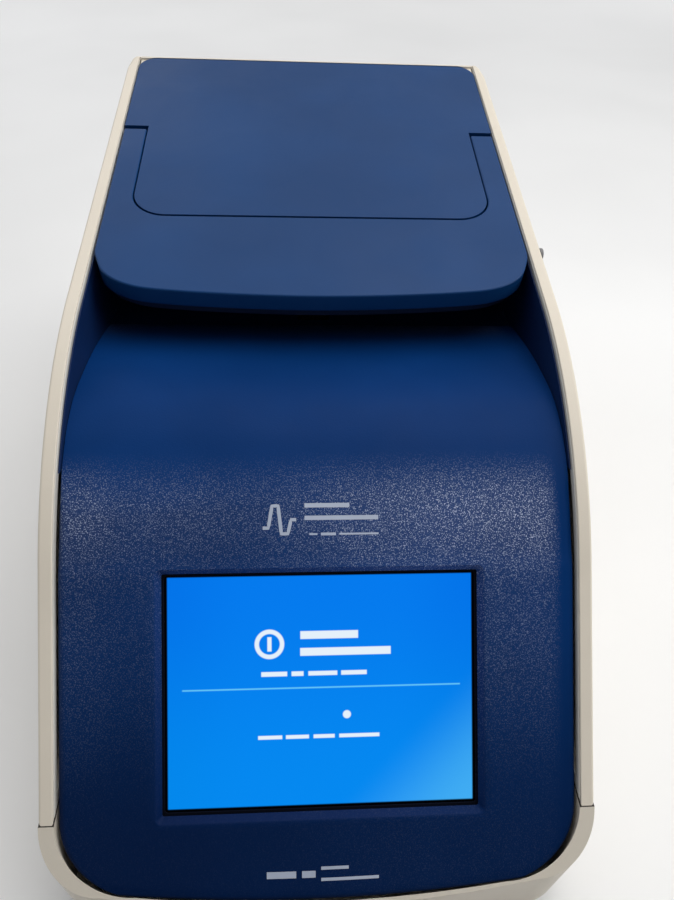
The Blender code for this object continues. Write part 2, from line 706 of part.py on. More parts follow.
# ------------------------------------------------------------ sample block
def block_zone(index):
    """One zone of the block with its wells, on its own Peltier module."""
    middle = (index - (ZONES - 1) / 2) * ZONE_COLUMNS * WELL_PITCH
    bottom = BLOCK_TOP - BLOCK_H
    zone = box(f"sample_block_zone_{index + 1}", around(WELL_PITCH - 0.3, middle),
               around(36.5, BLOCK_Y), (bottom, BLOCK_TOP), ALU)
    wells = []
    for i in range(ZONE_COLUMNS):
        for j in range(WELL_ROWS):
            centre = (middle + (i - (ZONE_COLUMNS - 1) / 2) * WELL_PITCH,
                      BLOCK_Y + (j - (WELL_ROWS - 1) / 2) * WELL_PITCH, BLOCK_TOP - 6.9)
            wells.append(cyl(f"well_{i}_{j}", centre, "Z", 1.5, 14.2, 8, top_radius=3.1))
    cut(zone, join(f"wells_{index + 1}", wells))
    box(f"peltier_module_{index + 1}", around(WELL_PITCH - 0.5, middle), around(35, BLOCK_Y),
        (SINK_Z1 + 0.4, bottom - 0.4), CERAMIC)


for k in range(ZONES):
    block_zone(k)

surround = box("block_frame", around(62), around(45, BLOCK_Y), (143.5, 161.6), GREY)
cut(surround, box("block_frame_hole", around(54.4), around(37.2, BLOCK_Y), (140, 165)))
seal = box("block_seal", around(60.6), around(43.1, BLOCK_Y), (162.0, 166.8), RUBBER)
bevel(seal, 0.8)
cut(seal, box("block_seal_hole", around(57.0), around(39.0, BLOCK_Y), (155, 170)))

# -------------------------------------------------------------------- deck
THROUGH_DECK = (150, 170)       # z span of a cutter through the deck
CHEEK_BACK = 200.0
# Lower edge of a cheek, back to front (y, z)
CHEEK_LOW = [(CHEEK_BACK, 163.3), (11.0, 163.3), (-26, 170.2), (-52, 174.0),
             (-71, 174.4), (-86, 171.2), (-97, 166.6)]


def cheek_outline():
    """(y, z) outline of the deck's upright wall beside the lid."""
    stations = (-107, -96, -84, -70, -55, -40, FILLET_END, CHEEK_BACK)
    return [(y, side_z(y) - 3.2) for y in stations] + CHEEK_LOW


deck = box("deck_cover", around(111.6), (8.3, 201.0), (162.0, 165.0), BLUE)
for word, side in SIDES:
    fuse(deck, outline(f"cheek_{word[0]}", cheek_outline(), SIDE_VIEW,
                       on_side(side, 111.2, 111.8)))
cut(deck,
    box("deck_opening", around(61), around(43.5, BLOCK_Y), THROUGH_DECK),
    box("latch_slot", around(9), (15, 38.5), THROUGH_DECK))
for word, side in SIDES:
    cut(deck, box(f"hinge_slot_{word[0]}", on_side(side, BRACKET_X[0] - 2, BRACKET_X[1] + 2),
                  (171, 199), THROUGH_DECK))
box("latch_keeper", around(13), (8.5, 14.5), (150.0, 161.6), STEEL)

# --------------------------------------------------------------- lid hinge
SPRING_X0, SPRING_X1 = 36.0, 56.0       # inner and outer end of a spring
SPRING_R, SPRING_TURNS, SPRING_LEG = 7.5, 5, 14
TURN_STEPS = 10


def hinge_bracket(name, side):
    """Upright bracket from the chassis to the hinge shaft."""
    points = [(196, STAND_Z), (196, 190)] + arc(PIVOT, KNUCKLE_R, -10, 190, 8)
    points += [(173, 190), (173, STAND_Z)]
    plate = outline(name, points, SIDE_VIEW, on_side(side, *BRACKET_X), STEEL)
    middle = side * sum(BRACKET_X) / 2
    cut(plate, cyl(name + "_bore", (middle, *PIVOT), "X", SHAFT_BORE_R, 12, 16))


def hinge_spring(name, side):
    """Torsion spring round the shaft, with one straight leg down."""
    steps = SPRING_TURNS * TURN_STEPS
    points = []
    for i in range(steps + 1):
        a = 2 * math.pi * i / TURN_STEPS
        points.append((side * (SPRING_X0 + (SPRING_X1 - SPRING_X0) * i / steps),
                       PIVOT[0] + SPRING_R * math.cos(a), PIVOT[1] + SPRING_R * math.sin(a)))
    points.append((side * SPRING_X1, PIVOT[0] + SPRING_R, PIVOT[1] - SPRING_LEG))
    wire(name, points, 1.1, STEEL)


for word, side in SIDES:
    hinge_bracket(f"hinge_bracket_{word}", side)
    hinge_spring(f"hinge_spring_{word}", side)
shade(cyl("hinge_shaft", (0, *PIVOT), "X", 4.0, 190, 16, STEEL))


# --------------------------------------------------------------- lid cover
def lid_slab(name, x, along, above, mat=None):
    """A box in the lid's own frame: along its slope, above its top plane."""
    return box(name, x, along, above, mat, LID_FRAME)


def handle_plan(front, end, gap=0.0):
    """(x, along) outline of a U: a front edge and two arms, inner edge moved in by a gap."""
    inner, inner_front = ARM_IN - gap, along_lid(SEAM_Y) + gap
    radius = ARM_CORNER - gap
    half = front + [(front[-1][0], end), (inner, end)]
    for i in range(6):
        a = math.radians(90 * i / 5)
        half.append((inner - radius + radius * math.cos(a),
                     inner_front + radius - radius * math.sin(a)))
    return mirrored(half)


def lid_cover():
    """Flat top with a round rear barrel, open below, with room for the handle."""
    front = along_lid(SEAM_Y) + HANDLE_GAP
    cover = lid_slab("lid_cover", around(LID_HW), (front, 200.0), (-5.0, 0.6), BLUE)
    fuse(cover, turned("lid_barrel", LID_HW, 0.0))
    cut(cover,
        lid_slab("above_lid", around(130), (0, 260), (0.0, 40.0)),
        box("below_barrel", around(130), (140, 240), (180, 204)),
        lid_slab("before_barrel", around(130), (140, 184), (-60.0, -5.0)))
    hollow = turned("barrel_hollow", LID_POCKET_HW, -SKIN)
    cut(hollow, lid_slab("barrel_roof", around(130), (100, 260), (-SKIN, 40.0)))
    reach = 12.0        # the cutter runs past the lid's front and sides
    space_front = [(0, -16 - reach), (LID_HW + reach, -16 - reach)]
    cut(cover,
        hollow,
        lid_slab("lid_pocket_front", around(94.4), (front + 2.0, 200.0), (-30.0, -SKIN)),
        lid_slab("lid_pocket_rear", around(LID_POCKET_HW), (NOTCH_END + SKIN, 196.0),
                 (-30.0, -SKIN)),
        outline("handle_space", handle_plan(space_front, NOTCH_END, HANDLE_GAP),
                LID_FRAME, (-30.0, 10.0)))
    for word, side in SIDES:
        cut(cover, box(f"barrel_slot_{word[0]}",
                       on_side(side, BRACKET_X[0] - 3, BRACKET_X[1] + 3), (190, 216), (190, 230)))
    for word, side in SIDES:
        cut(cover, cyl(f"pin_gap_{word[0]}", (side * 95.6, *HANDLE_PIVOT), "X", 2.7, 6, 12))
    return cover


# ---------------------------------------------------------------- lid base
HOUSING_Y = (40.8, 160.0)
HOUSING_HW = 92.5
HOUSING_FLOOR = 168.0
# Latch ear (y, z)
LATCH_EAR = [(42.6, 186), (42.6, 202.6), (27, 202), (24.0, 196), (26, 190)]


def housing_outline(front, back, floor, below):
    """(y, z) outline of the housing, its top a height below the lid's top plane."""
    return [(front, floor), (back, floor), (back, lid_z(back) - below),
            (front, lid_z(front) - below)]


def round_rect(width, height, radius, middle_y):
    """Outline of a rounded rectangle, three steps to a corner."""
    x, y = width / 2 - radius, height / 2 - radius
    corners = ((x, y, 0), (-x, y, 90), (-x, -y, 180), (x, -y, 270))
    points = []
    for corner_x, corner_y, start in corners:
        points += arc((corner_x, corner_y), radius, start, start + 90, 3)
    return [(x, y + middle_y) for x, y in points]


def lid_base():
    """Lower housing round the platen, with hinge arms and latch ears."""
    front, back = HOUSING_Y
    base = outline("lid_base", housing_outline(front, back, HOUSING_FLOOR, 3.6),
                   SIDE_VIEW, around(HOUSING_HW), BLUE)
    plan = round_rect(2 * HOUSING_HW, back - front, 8.0, (front + back) / 2)
    boolean(base, "INTERSECT", [outline("lid_base_plan", plan, PLAN, (150.0, 250.0))])
    pocket = housing_outline(front + 2.6, back - SKIN, HOUSING_FLOOR + SKIN, -10.0)
    cut(base,
        outline("lid_base_pocket", pocket, SIDE_VIEW, around(HOUSING_HW - SKIN)),
        box("platen_opening", around(61), around(41.3, BLOCK_Y), (160, 175)))
    arm = [(158.5, 192.0)] + arc(PIVOT, KNUCKLE_R, -110, 100, 10) + [(158.5, 228.0)]
    arm_x, ear_x = sum(LID_ARM_X) / 2, sum(LATCH_EAR_X) / 2
    for word, side in SIDES:
        fuse(base,
             outline(f"lid_arm_{word[0]}", arm, SIDE_VIEW, on_side(side, *LID_ARM_X)),
             outline(f"latch_ear_{word[0]}", LATCH_EAR, SIDE_VIEW, on_side(side, *LATCH_EAR_X)))
    for word, side in SIDES:
        tag = word[0]
        cut(base,
            cyl(f"lid_arm_bore_{tag}", (side * arm_x, *PIVOT), "X", SHAFT_BORE_R, 12, 16),
            cyl(f"handle_bore_{tag}", (side * 91, *HANDLE_PIVOT), "X", HANDLE_BORE_R, 8, 12),
            cyl(f"latch_bore_{tag}", (side * ear_x, *LATCH_PIVOT), "X", 2.4, 6, 12))
    return base


# --------------------------------------------------------- handle and latch
def lid_handle():
    """U-shaped handle, thicker along its front edge."""
    front = [(x, along_lid(y)) for x, y in HANDLE_FRONT]
    handle = outline("lid_handle", handle_plan(front, ARM_END), LID_FRAME,
                     (-HANDLE_T, 0.0), BLUE)
    bevel(handle, 1.0, 50)
    # The strip's rear edge runs straight across the middle
    grip = [(x * 0.985, along_lid(y + 1.6)) for x, y in HANDLE_FRONT[:8]]
    grip += [(x, along + 9.0) for x, along in reversed(grip[1:])]
    fuse(handle, outline("handle_grip", mirrored(grip), LID_FRAME, (-GRIP_T, -5.0)))
    for word, side in SIDES:
        cut(handle, cyl(f"handle_hole_{word[0]}", (side * 99, *HANDLE_PIVOT), "X",
                        HANDLE_BORE_R, 16, 12))
    return handle


# Latch hook (y, z), round at the top, with a toe to the front
LATCH_HOOK = [(25.6, 196), (27.0, 199.6), (29.0, 200.6), (31.0, 199.6), (32.4, 196),
              (32.4, 158), (21.5, 158), (25.6, 163.5)]

cover = lid_cover()
base = lid_base()
handle = lid_handle()
pins = [shade(cyl(f"handle_pin_{word}", (side * 97.6, *HANDLE_PIVOT), "X", 2.3, 17.6, 12, STEEL))
        for word, side in SIDES]
hook = outline("latch_hook", LATCH_HOOK, SIDE_VIEW, around(6.0), STEEL)
fuse(hook, cyl("hook_pin", (0, *LATCH_PIVOT), "X", 2.0, 21.0, 12))

# ------------------------------------------------- heated platen, bottom up
PLATEN_Z = (172, 178)
platen = box("heated_platen", around(59), around(40, BLOCK_Y), PLATEN_Z, ALU)
bevel(platen, 0.8)
heater = box("platen_heater", around(55), around(37, BLOCK_Y), (178.3, 179.8), HEATER_MAT)
insulator = box("platen_insulator", around(57), around(39, BLOCK_Y), (180.1, 190.0), FOAM)
bevel(insulator, 1.0)

# ------------------------------------------------------------------ joints
lid_axis = pivot("lid_hinge_axis", (0, *PIVOT))
handle_axis = pivot("handle_axis", (0, *HANDLE_PIVOT))
platen_axis = pivot("platen_axis", (0, BLOCK_Y, sum(PLATEN_Z) / 2))
latch_axis = pivot("latch_axis", (0, *LATCH_PIVOT))
hang(lid_axis, handle_axis, platen_axis, latch_axis, cover, base)
hang(handle_axis, handle, *pins)
hang(platen_axis, platen, heater, insulator)
hang(latch_axis, hook)
hang(pivot("rocker_axis", ROCKER_PIVOT), rocker)
hang(pivot("cooling_fan_axis", FAN_CENTRE), cooling_rotor)
hang(pivot("rear_fan_axis", REAR_FAN_CENTRE), rear_rotor)
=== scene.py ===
"""Looks of a desktop thermal cycler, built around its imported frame.

Pieces are drawn in millimetres: x to the right, y to the back, z up from the table. The screen
faces the front (-y). On a slope, s runs up the slope and n stands off its surface.
"""

import math

import bmesh
import bpy
from mathutils import Matrix, Vector


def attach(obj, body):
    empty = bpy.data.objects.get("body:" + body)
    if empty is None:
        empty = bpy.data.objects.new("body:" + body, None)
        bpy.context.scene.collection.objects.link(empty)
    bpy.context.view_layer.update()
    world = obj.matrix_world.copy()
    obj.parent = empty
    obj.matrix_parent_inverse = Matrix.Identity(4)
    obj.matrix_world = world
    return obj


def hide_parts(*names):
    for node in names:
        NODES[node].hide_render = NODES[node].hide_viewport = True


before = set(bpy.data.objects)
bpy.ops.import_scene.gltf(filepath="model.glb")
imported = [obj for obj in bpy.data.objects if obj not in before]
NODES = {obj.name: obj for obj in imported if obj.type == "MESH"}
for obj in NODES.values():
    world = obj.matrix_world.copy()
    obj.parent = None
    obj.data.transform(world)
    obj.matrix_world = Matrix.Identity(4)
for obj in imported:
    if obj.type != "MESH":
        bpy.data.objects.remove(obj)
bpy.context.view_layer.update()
MM = 0.001
COS_45 = math.sqrt(0.5)

# ------------------------------------------------------------- dimensions, mm
HALF_W, HALF_D = 118.5, 242.5              # casing
PANEL_IN = 112.0                           # inner face of the side panels
SEAM_Z, SKIN = 70.5, 3.0                   # top of the tray, wall thickness
FACE_RISE = 286.0                          # the front slope is z = y + FACE_RISE
LID_SLOPE = math.radians(9.67)
LID_Y0, LID_Z0 = -11.0, 207.4              # origin of the lid's slope
BEND_R, BEND_C = 215.0, (11.1, -6.9)       # bend from front slope to lid slope, centre (y, z)
BEND_Y0, BEND_Y1 = -140.9, -25.0           # where the bend starts and ends
SCREEN_Y, SCREEN_Z = -177.5, 105.8
WINDOW_W, WINDOW_H = 136.6, 103.2
FASCIA_HALF_W, FASCIA_BACK_HALF_W = 111.2, 110.9
LIP_T, NARROW_T = -84.0, -52.0             # fascia: lower lip, start of its rounded bottom
LIP_HALF_W, LIP_BOW = 78.0, 5.0
PIVOT, BARREL_R = (184.2, 221.4), 28.8     # lid hinge (y, z)
LID_HALF_W, LID_CORNER = 110.9, 11.0
LID_OPEN = 75.0                            # degrees
HANDLE_S, HANDLE_N = 126.2, -5.6           # handle pivot on the lid slope
HANDLE_T, GRIP_T = 10.0, 14.5              # depths of the handle and of its ridge
ARM_IN, ARM_END = 97.6, 131.4              # handle arms: inner x, end s
HANDLE_BACK_Y = 36.8                       # back edge of the handle's cross piece
HINGE_X = 81.0
SWITCH = (-83.0, 116.0)                    # (x, z)
ROCKER_Y = 236.5
BLOCK_Y, BLOCK_TOP, WELL_PITCH = 85.0, 166.0, 9.0

LID_FRAME = Matrix.Translation((0, LID_Y0, LID_Z0)) @ Matrix.Rotation(LID_SLOPE, 4, "X")
FACE_FRAME = (Matrix.Translation((0, SCREEN_Y, SCREEN_Z))
              @ Matrix.Rotation(math.radians(45), 4, "X"))
# outlines drawn as (y, z), (x, z) and (x, y), given thickness along x, y and z
ALONG_X = Matrix(((0, 0, 1, 0), (1, 0, 0, 0), (0, 1, 0, 0), (0, 0, 0, 1)))
ALONG_Y = Matrix(((1, 0, 0, 0), (0, 0, 1, 0), (0, 1, 0, 0), (0, 0, 0, 1)))
ALONG_Z = Matrix.Identity(4)


# ================================================================= materials
def lin(colour):
    """Linear colour from 0..255 display values."""
    out = []
    for v in colour:
        v /= 255.0
        out.append(v / 12.92 if v <= 0.04045 else ((v + 0.055) / 1.055) ** 2.4)
    return (*out, 1.0)


class Mat:
    """A Principled material with a few helpers for its nodes. Colours are 0..255."""

    def __init__(self, name, colour, rough=0.5, metal=0.0, coat=0.0, spec=0.5):
        self.m = bpy.data.materials.new(name)
        self.m.use_nodes = True
        self.tree = self.m.node_tree
        self.shader = self.tree.nodes["Principled BSDF"]
        for key, value in (("Base Color", lin(colour)), ("Roughness", rough),
                           ("Metallic", metal), ("IOR", 1.5),
                           ("Specular IOR Level", spec), ("Coat Weight", coat)):
            self.shader.inputs[key].default_value = value
        self.coord = self.node("ShaderNodeTexCoord").outputs["Object"]
        self.m.diffuse_color = lin(colour)

    def node(self, kind, **props):
        n = self.tree.nodes.new(kind)
        for key, value in props.items():
            setattr(n, key, value)
        return n

    def link(self, output, socket):
        self.tree.links.new(output, socket)

    def feed(self, socket, value):
        """Set a socket's value, or link an output to it."""
        if isinstance(value, (int, float, tuple)):
            socket.default_value = value
        else:
            self.link(value, socket)

    def noise(self, scale, detail=2.0, rough=0.5, stretch=None, distort=0.0):
        n = self.node("ShaderNodeTexNoise")
        for key, value in (("Scale", scale), ("Detail", detail), ("Roughness", rough),
                           ("Distortion", distort)):
            n.inputs[key].default_value = value
        where = self.coord
        if stretch:
            mapping = self.node("ShaderNodeMapping")
            mapping.inputs["Scale"].default_value = stretch
            self.link(self.coord, mapping.inputs["Vector"])
            where = mapping.outputs["Vector"]
        self.link(where, n.inputs["Vector"])
        return n.outputs["Fac"]

    def voronoi(self, scale, out="Distance"):
        n = self.node("ShaderNodeTexVoronoi")
        n.inputs["Scale"].default_value = scale
        self.link(self.coord, n.inputs["Vector"])
        return n.outputs[out]

    def bands(self, scale, distort=0.0):
        """Waves along x."""
        n = self.node("ShaderNodeTexWave", wave_type="BANDS", bands_direction="X")
        n.inputs["Scale"].default_value = scale
        n.inputs["Distortion"].default_value = distort
        self.link(self.coord, n.inputs["Vector"])
        return n.outputs["Fac"]

    def ramp(self, fac, start, end, low=0.0, high=1.0):
        """fac from start..end mapped to low..high, eased."""
        n = self.node("ShaderNodeMapRange", interpolation_type="SMOOTHSTEP")
        self.link(fac, n.inputs["Value"])
        for key, value in (("From Min", start), ("From Max", end),
                           ("To Min", low), ("To Max", high)):
            n.inputs[key].default_value = value
        return n.outputs["Result"]

    def mix(self, fac, a, b):
        """From a to b, each a colour or an output."""
        n = self.node("ShaderNodeMix", data_type="RGBA")
        self.feed(n.inputs["Factor"], fac)
        for key, colour in (("A", a), ("B", b)):
            self.feed(n.inputs[key], lin(colour) if isinstance(colour, tuple) else colour)
        return n.outputs["Result"]

    def math(self, op, a, b=0.0, c=0.0):
        n = self.node("ShaderNodeMath", operation=op)
        for socket, value in zip(n.inputs, (a, b, c)):
            self.feed(socket, value)
        return n.outputs[0]

    def mul(self, a, b):
        return self.math("MULTIPLY", a, b)

    def add(self, a, b):
        return self.math("ADD", a, b)

    def top(self, a, b):
        return self.math("MAXIMUM", a, b)

    def length(self, a, b):
        return self.math("SQRT", self.add(self.mul(a, a), self.mul(b, b)))

    def xyz(self):
        n = self.node("ShaderNodeSeparateXYZ")
        self.link(self.coord, n.inputs[0])
        return n.outputs

    def base(self, output):
        self.link(output, self.shader.inputs["Base Color"])

    def rough(self, output):
        self.link(output, self.shader.inputs["Roughness"])

    def bump(self, *heights):
        """Chain of (height, distance in metres) bumps, coarse first."""
        last = None
        for height, distance in heights:
            n = self.node("ShaderNodeBump")
            n.inputs["Strength"].default_value = 1.0
            n.inputs["Distance"].default_value = distance
            self.link(height, n.inputs["Height"])
            if last:
                self.link(last, n.inputs["Normal"])
            last = n.outputs["Normal"]
        self.link(last, self.shader.inputs["Normal"])


def moulded(name, colour, rough, grain, depth, fleck, painted_light=None, spec=0.5):
    """Moulded plastic: eroded grain, uneven gloss, faint cloudiness and handling marks."""
    m = Mat(name, colour, rough, spec=spec)
    dark = tuple(v * (1 - fleck) for v in colour)
    light = tuple(min(255, v * (1 + fleck) + 2) for v in colour)
    cloud = m.noise(9.0, detail=3.0, rough=0.55)
    fine = m.noise(grain, rough=0.6)
    tone = m.mix(m.ramp(cloud, 0.35, 0.7), dark, light)
    # painted light laid over the tone, such as glints and shade
    if painted_light:
        tone = painted_light(m, tone)
    m.base(tone)
    smudge = m.noise(22.0, detail=4.0, rough=0.6, distort=0.6)
    gloss = m.add(m.mul(smudge, 0.7), m.mul(fine, 0.3))
    m.rough(m.ramp(gloss, 0.3, 0.7, low=rough - 0.07, high=rough + 0.07))
    m.bump((cloud, depth * 0.6), (fine, depth))
    return m


def painted_glints_and_shade(m, colour):
    """Painted glints: light flecks on the coarse grain, strongest on the bend above the screen
    where the lamps' reflection falls, and painted shade towards the left and bottom.

    Ramps over x and z are in metres.
    """
    x, _, z = m.xyz()
    dots = m.ramp(m.noise(2000.0, detail=1.0), 0.56, 0.72)
    dots = m.top(dots, m.ramp(m.voronoi(1250.0), 0.30, 0.12))
    band = m.mul(m.ramp(z, 0.1735, 0.160),
                 m.mul(m.ramp(z, 0.136, 0.157, low=0.34), m.ramp(z, 0.070, 0.140, low=0.08)))
    side = m.top(m.ramp(x, -0.04, 0.045, low=0.40),
                 m.ramp(x, -0.080, -0.106, low=0.36, high=0.8))
    side = m.mul(side, m.ramp(x, 0.1065, 0.0990))
    patches = m.ramp(m.noise(16.0), 0.3, 0.7, low=0.75)
    weight = m.mul(m.mul(band, side), patches)
    painted_glints = m.mul(m.math("MULTIPLY_ADD", dots, 0.86, 0.05), weight)
    # painted shade: the left and the bottom fall off to a deeper blue
    lit = m.mul(m.ramp(z, 0.055, 0.150, low=0.36),
                m.top(m.ramp(x, -0.1, 0.06, low=0.78), m.ramp(z, 0.140, 0.165)))
    return m.mix(painted_glints, m.mix(lit, (0, 11, 42), colour), (204, 213, 236))


BLUE_LID = moulded("blue_lid_plastic", (4, 57, 110), rough=0.46, grain=2600.0, depth=0.00003,
                   fleck=0.03, spec=0.22)
# the fascia's colour carries painted glints and painted shade
BLUE_FACE = moulded("blue_fascia_plastic", (4, 50, 108), rough=0.5, grain=1250.0,
                    depth=0.00006, fleck=0.04, painted_light=painted_glints_and_shade, spec=0.06)
BLUE_DEEP = moulded("blue_inner_plastic", (3, 34, 80), rough=0.55, grain=2200.0,
                    depth=0.00004, fleck=0.05, spec=0.3)
BEIGE = moulded("beige_plastic", (224, 215, 200), rough=0.5, grain=1900.0, depth=0.00003,
                fleck=0.004, spec=0.4)
BEIGE_TRAY = moulded("beige_tray_plastic", (214, 206, 192), rough=0.5, grain=1900.0,
                     depth=0.00003, fleck=0.004, spec=0.4)
# greyer beige for the side panels' inner step: painted shade on the panel's inner face
STEP_SHADE = moulded("panel_step_painted_shade", (205, 203, 196), rough=0.5, grain=2100.0,
                depth=0.00003, fleck=0.03)
BLACK = moulded("black_plastic", (22, 22, 24), rough=0.45, grain=2400.0, depth=0.00004,
                fleck=0.2)
GREY = moulded("grey_plastic", (128, 128, 130), rough=0.5, grain=2200.0, depth=0.00004,
               fleck=0.05)
# painted shadow for the tray's top edge in the seam gap
SEAM_SHADOW = moulded("seam_shadow", (52, 46, 40), rough=0.8, grain=1500.0, depth=0.00002, fleck=0.0)
GASKET = moulded("gasket_rubber", (4, 7, 20), rough=0.7, grain=1500.0, depth=0.00005,
                 fleck=0.05, spec=0.1)
RUBBER = moulded("rubber", (20, 20, 21), rough=0.8, grain=1500.0, depth=0.00009, fleck=0.25)
PRINT = moulded("silver_print", (176, 186, 206), rough=0.35, grain=3000.0, depth=0.00001,
                fleck=0.03)


def brushed(name, colour, rough, stretch):
    """Metal with fine lines and faint blotches; stretch is the line noise's scale per axis."""
    m = Mat(name, colour, rough, metal=1.0)
    lines = m.noise(60.0, detail=4.0, rough=0.7, stretch=stretch)
    cloud = m.noise(14.0, detail=3.0, rough=0.6)
    dark = tuple(v * 0.94 for v in colour)
    light = tuple(min(255, v * 1.06) for v in colour)
    m.base(m.mix(m.ramp(cloud, 0.3, 0.7), dark, light))
    m.rough(m.ramp(lines, 0.3, 0.7, low=rough - 0.08, high=rough + 0.1))
    m.bump((lines, 0.00002))
    return m


def galvanised():
    m = Mat("zinc_plated_sheet", (178, 181, 184), rough=0.38, metal=1.0)
    grey = m.node("ShaderNodeRGBToBW")
    m.link(m.voronoi(120.0, out="Color"), grey.inputs[0])
    grey = grey.outputs[0]
    m.base(m.mix(m.ramp(grey, 0.2, 0.8), (160, 163, 167), (192, 194, 196)))
    m.rough(m.ramp(grey, 0.2, 0.8, low=0.3, high=0.46))
    m.bump((m.noise(900.0), 0.00001))
    return m


def ceramic():
    m = Mat("white_ceramic", (233, 232, 226), rough=0.45)
    cloud = m.noise(700.0, detail=3.0)
    m.base(m.mix(m.ramp(cloud, 0.35, 0.65), (222, 221, 214), (240, 239, 234)))
    m.bump((m.noise(1400.0), 0.00003))
    return m


def foam():
    m = Mat("closed_cell_foam", (52, 52, 55), rough=0.95)
    cells = m.voronoi(520.0)
    m.base(m.mix(m.ramp(cells, 0.0, 0.6), (34, 34, 36), (74, 74, 78)))
    m.bump((cells, 0.0004))
    return m


def board():
    """Circuit board: a brick pattern of lines and small raised pads."""
    m = Mat("green_circuit_board", (22, 84, 48), rough=0.35, coat=0.4)
    bricks = m.node("ShaderNodeTexBrick", offset=0.5, squash=1.0)
    bricks.inputs["Scale"].default_value = 34.0
    bricks.inputs["Mortar Size"].default_value = 0.018
    m.link(m.coord, bricks.inputs["Vector"])
    lines = bricks.outputs["Fac"]
    m.base(m.mix(lines, (18, 76, 42), (58, 128, 74)))
    m.bump((lines, 0.00004), (m.ramp(m.voronoi(240.0), 0.15, 0.1), 0.00006))
    return m


def heater():
    m = Mat("silicone_heater", (198, 96, 34), rough=0.6)
    wave = m.bands(60.0, distort=0.4)
    m.base(m.mix(m.ramp(wave, 0.55, 0.8), (198, 96, 34), (126, 62, 30)))
    m.bump((wave, 0.00012))
    return m


# white bars of the start-up picture: centre x, centre t, half width, half height, mm
SCREEN_BARS = (
    (3.5, 23.9, 12.6, 1.7), (10.6, 16.6, 19.8, 1.7),
    (-20.5, 7.2, 5.6, 1.0), (-10.4, 7.2, 2.6, 1.0), (0.6, 7.2, 6.3, 0.95), (14.2, 7.2, 5.6, 0.95),
    (-22.4, -20.2, 5.2, 0.8), (-10.6, -20.2, 5.0, 0.8), (1.0, -20.2, 4.6, 0.8),
    (16.4, -20.2, 8.8, 0.8))


def screen_glass():
    """A lit start-up picture in dark glass: gradient, thin rule, dot, ring and plain bars."""
    m = Mat("lit_touch_screen", (1, 1, 2), rough=0.16, spec=0.1)
    x, y, z = m.xyz()
    # millimetres from the screen's centre: u to the right, t up the slope
    u = m.mul(x, 1000.0)
    t = m.mul(m.add(m.add(y, -SCREEN_Y * MM), m.add(z, -SCREEN_Z * MM)), 1000.0 * COS_45)

    def rect(cu, ct, half_w, half_h, soft=0.25):
        across = m.ramp(m.math("ABSOLUTE", m.add(u, -cu)), half_w + soft, half_w - soft)
        up = m.ramp(m.math("ABSOLUTE", m.add(t, -ct)), half_h + soft, half_h - soft)
        return m.mul(across, up)

    def disc(cu, ct, radius, soft=0.3):
        distance = m.length(m.add(u, -cu), m.add(t, -ct))
        return m.ramp(distance, radius + soft, radius - soft)

    sky = m.mix(m.ramp(t, 49.0, -49.0), (0, 118, 237), (0, 138, 240))
    centre = m.ramp(m.math("ABSOLUTE", u), 30.0, 68.0, low=1.0, high=0.0)
    sky = m.mix(m.mul(centre, 0.25), sky, (6, 140, 255))
    white = disc(11.0, -11.0, 1.75)
    ring = m.math("SUBTRACT", disc(-22.5, 20.2, 6.4), disc(-22.5, 20.2, 4.5))
    for mask in (ring, rect(-22.5, 20.2, 0.9, 3.1), *(rect(*bar) for bar in SCREEN_BARS)):
        white = m.top(white, mask)
    rule = rect(0.5, 1.0, 60.5, 0.28, soft=0.3)
    picture = m.mix(m.mul(rule, 0.75), sky, (120, 225, 255))
    picture = m.mix(m.mul(white, 0.93), picture, (240, 250, 255))
    lit = rect(0.0, 0.0, 66.2, 49.7, soft=0.35)
    # glare over the lower right corner
    glare = m.mul(m.ramp(m.add(u, m.mul(t, -1.0)), 55.0, 116.0), 0.42)
    picture = m.mix(glare, picture, (100, 214, 255))
    stripes = m.ramp(m.bands(900.0), 0.0, 1.0, low=0.97)
    m.link(picture, m.shader.inputs["Emission Color"])
    m.link(m.mul(m.mul(lit, stripes), 0.98), m.shader.inputs["Emission Strength"])
    m.rough(m.ramp(m.noise(30.0, detail=3.0), 0.3, 0.7, low=0.1, high=0.2))
    return m


ALU = brushed("anodised_aluminium", (200, 203, 207), rough=0.34, stretch=(1, 60, 1))
ALU_X = brushed("extruded_aluminium", (186, 189, 193), rough=0.4, stretch=(60, 1, 60))
STEEL = brushed("spring_steel", (150, 152, 156), rough=0.3, stretch=(40, 40, 1))
# near-black steel for the latch hook and keeper: painted shade under the lid's front edge
SHADE_DARK_STEEL = brushed("steel_painted_shade", (26, 27, 30), rough=0.5, stretch=(40, 40, 1))
ZINC = galvanised()
CERAMIC, FOAM, BOARD, HEATER = ceramic(), foam(), board(), heater()
SCREEN_GLASS = screen_glass()

# ================================================================== geometry
LOOKS = bpy.data.collections.new("looks")
bpy.context.scene.collection.children.link(LOOKS)
CUTTERS = []


def new_object(name, mesh):
    ob = bpy.data.objects.new(name, mesh)
    LOOKS.objects.link(ob)
    return ob


def shade(mesh, angle):
    """Smooth, with sharp edges above an angle in degrees."""
    mesh.shade_smooth()
    mesh.set_sharp_from_angle(angle=math.radians(angle))


def mesh_ob(bm, name="part", mat=None):
    """An object from a bmesh drawn in millimetres. Without a material it is a cutter."""
    bmesh.ops.recalc_face_normals(bm, faces=bm.faces)
    bmesh.ops.scale(bm, verts=bm.verts, vec=(MM, MM, MM))
    mesh = bpy.data.meshes.new(name)
    bm.to_mesh(mesh)
    bm.free()
    ob = new_object(name, mesh)
    if mat:
        mesh.materials.append(mat.m)
    else:
        CUTTERS.append(ob)
    shade(mesh, 32)
    return ob


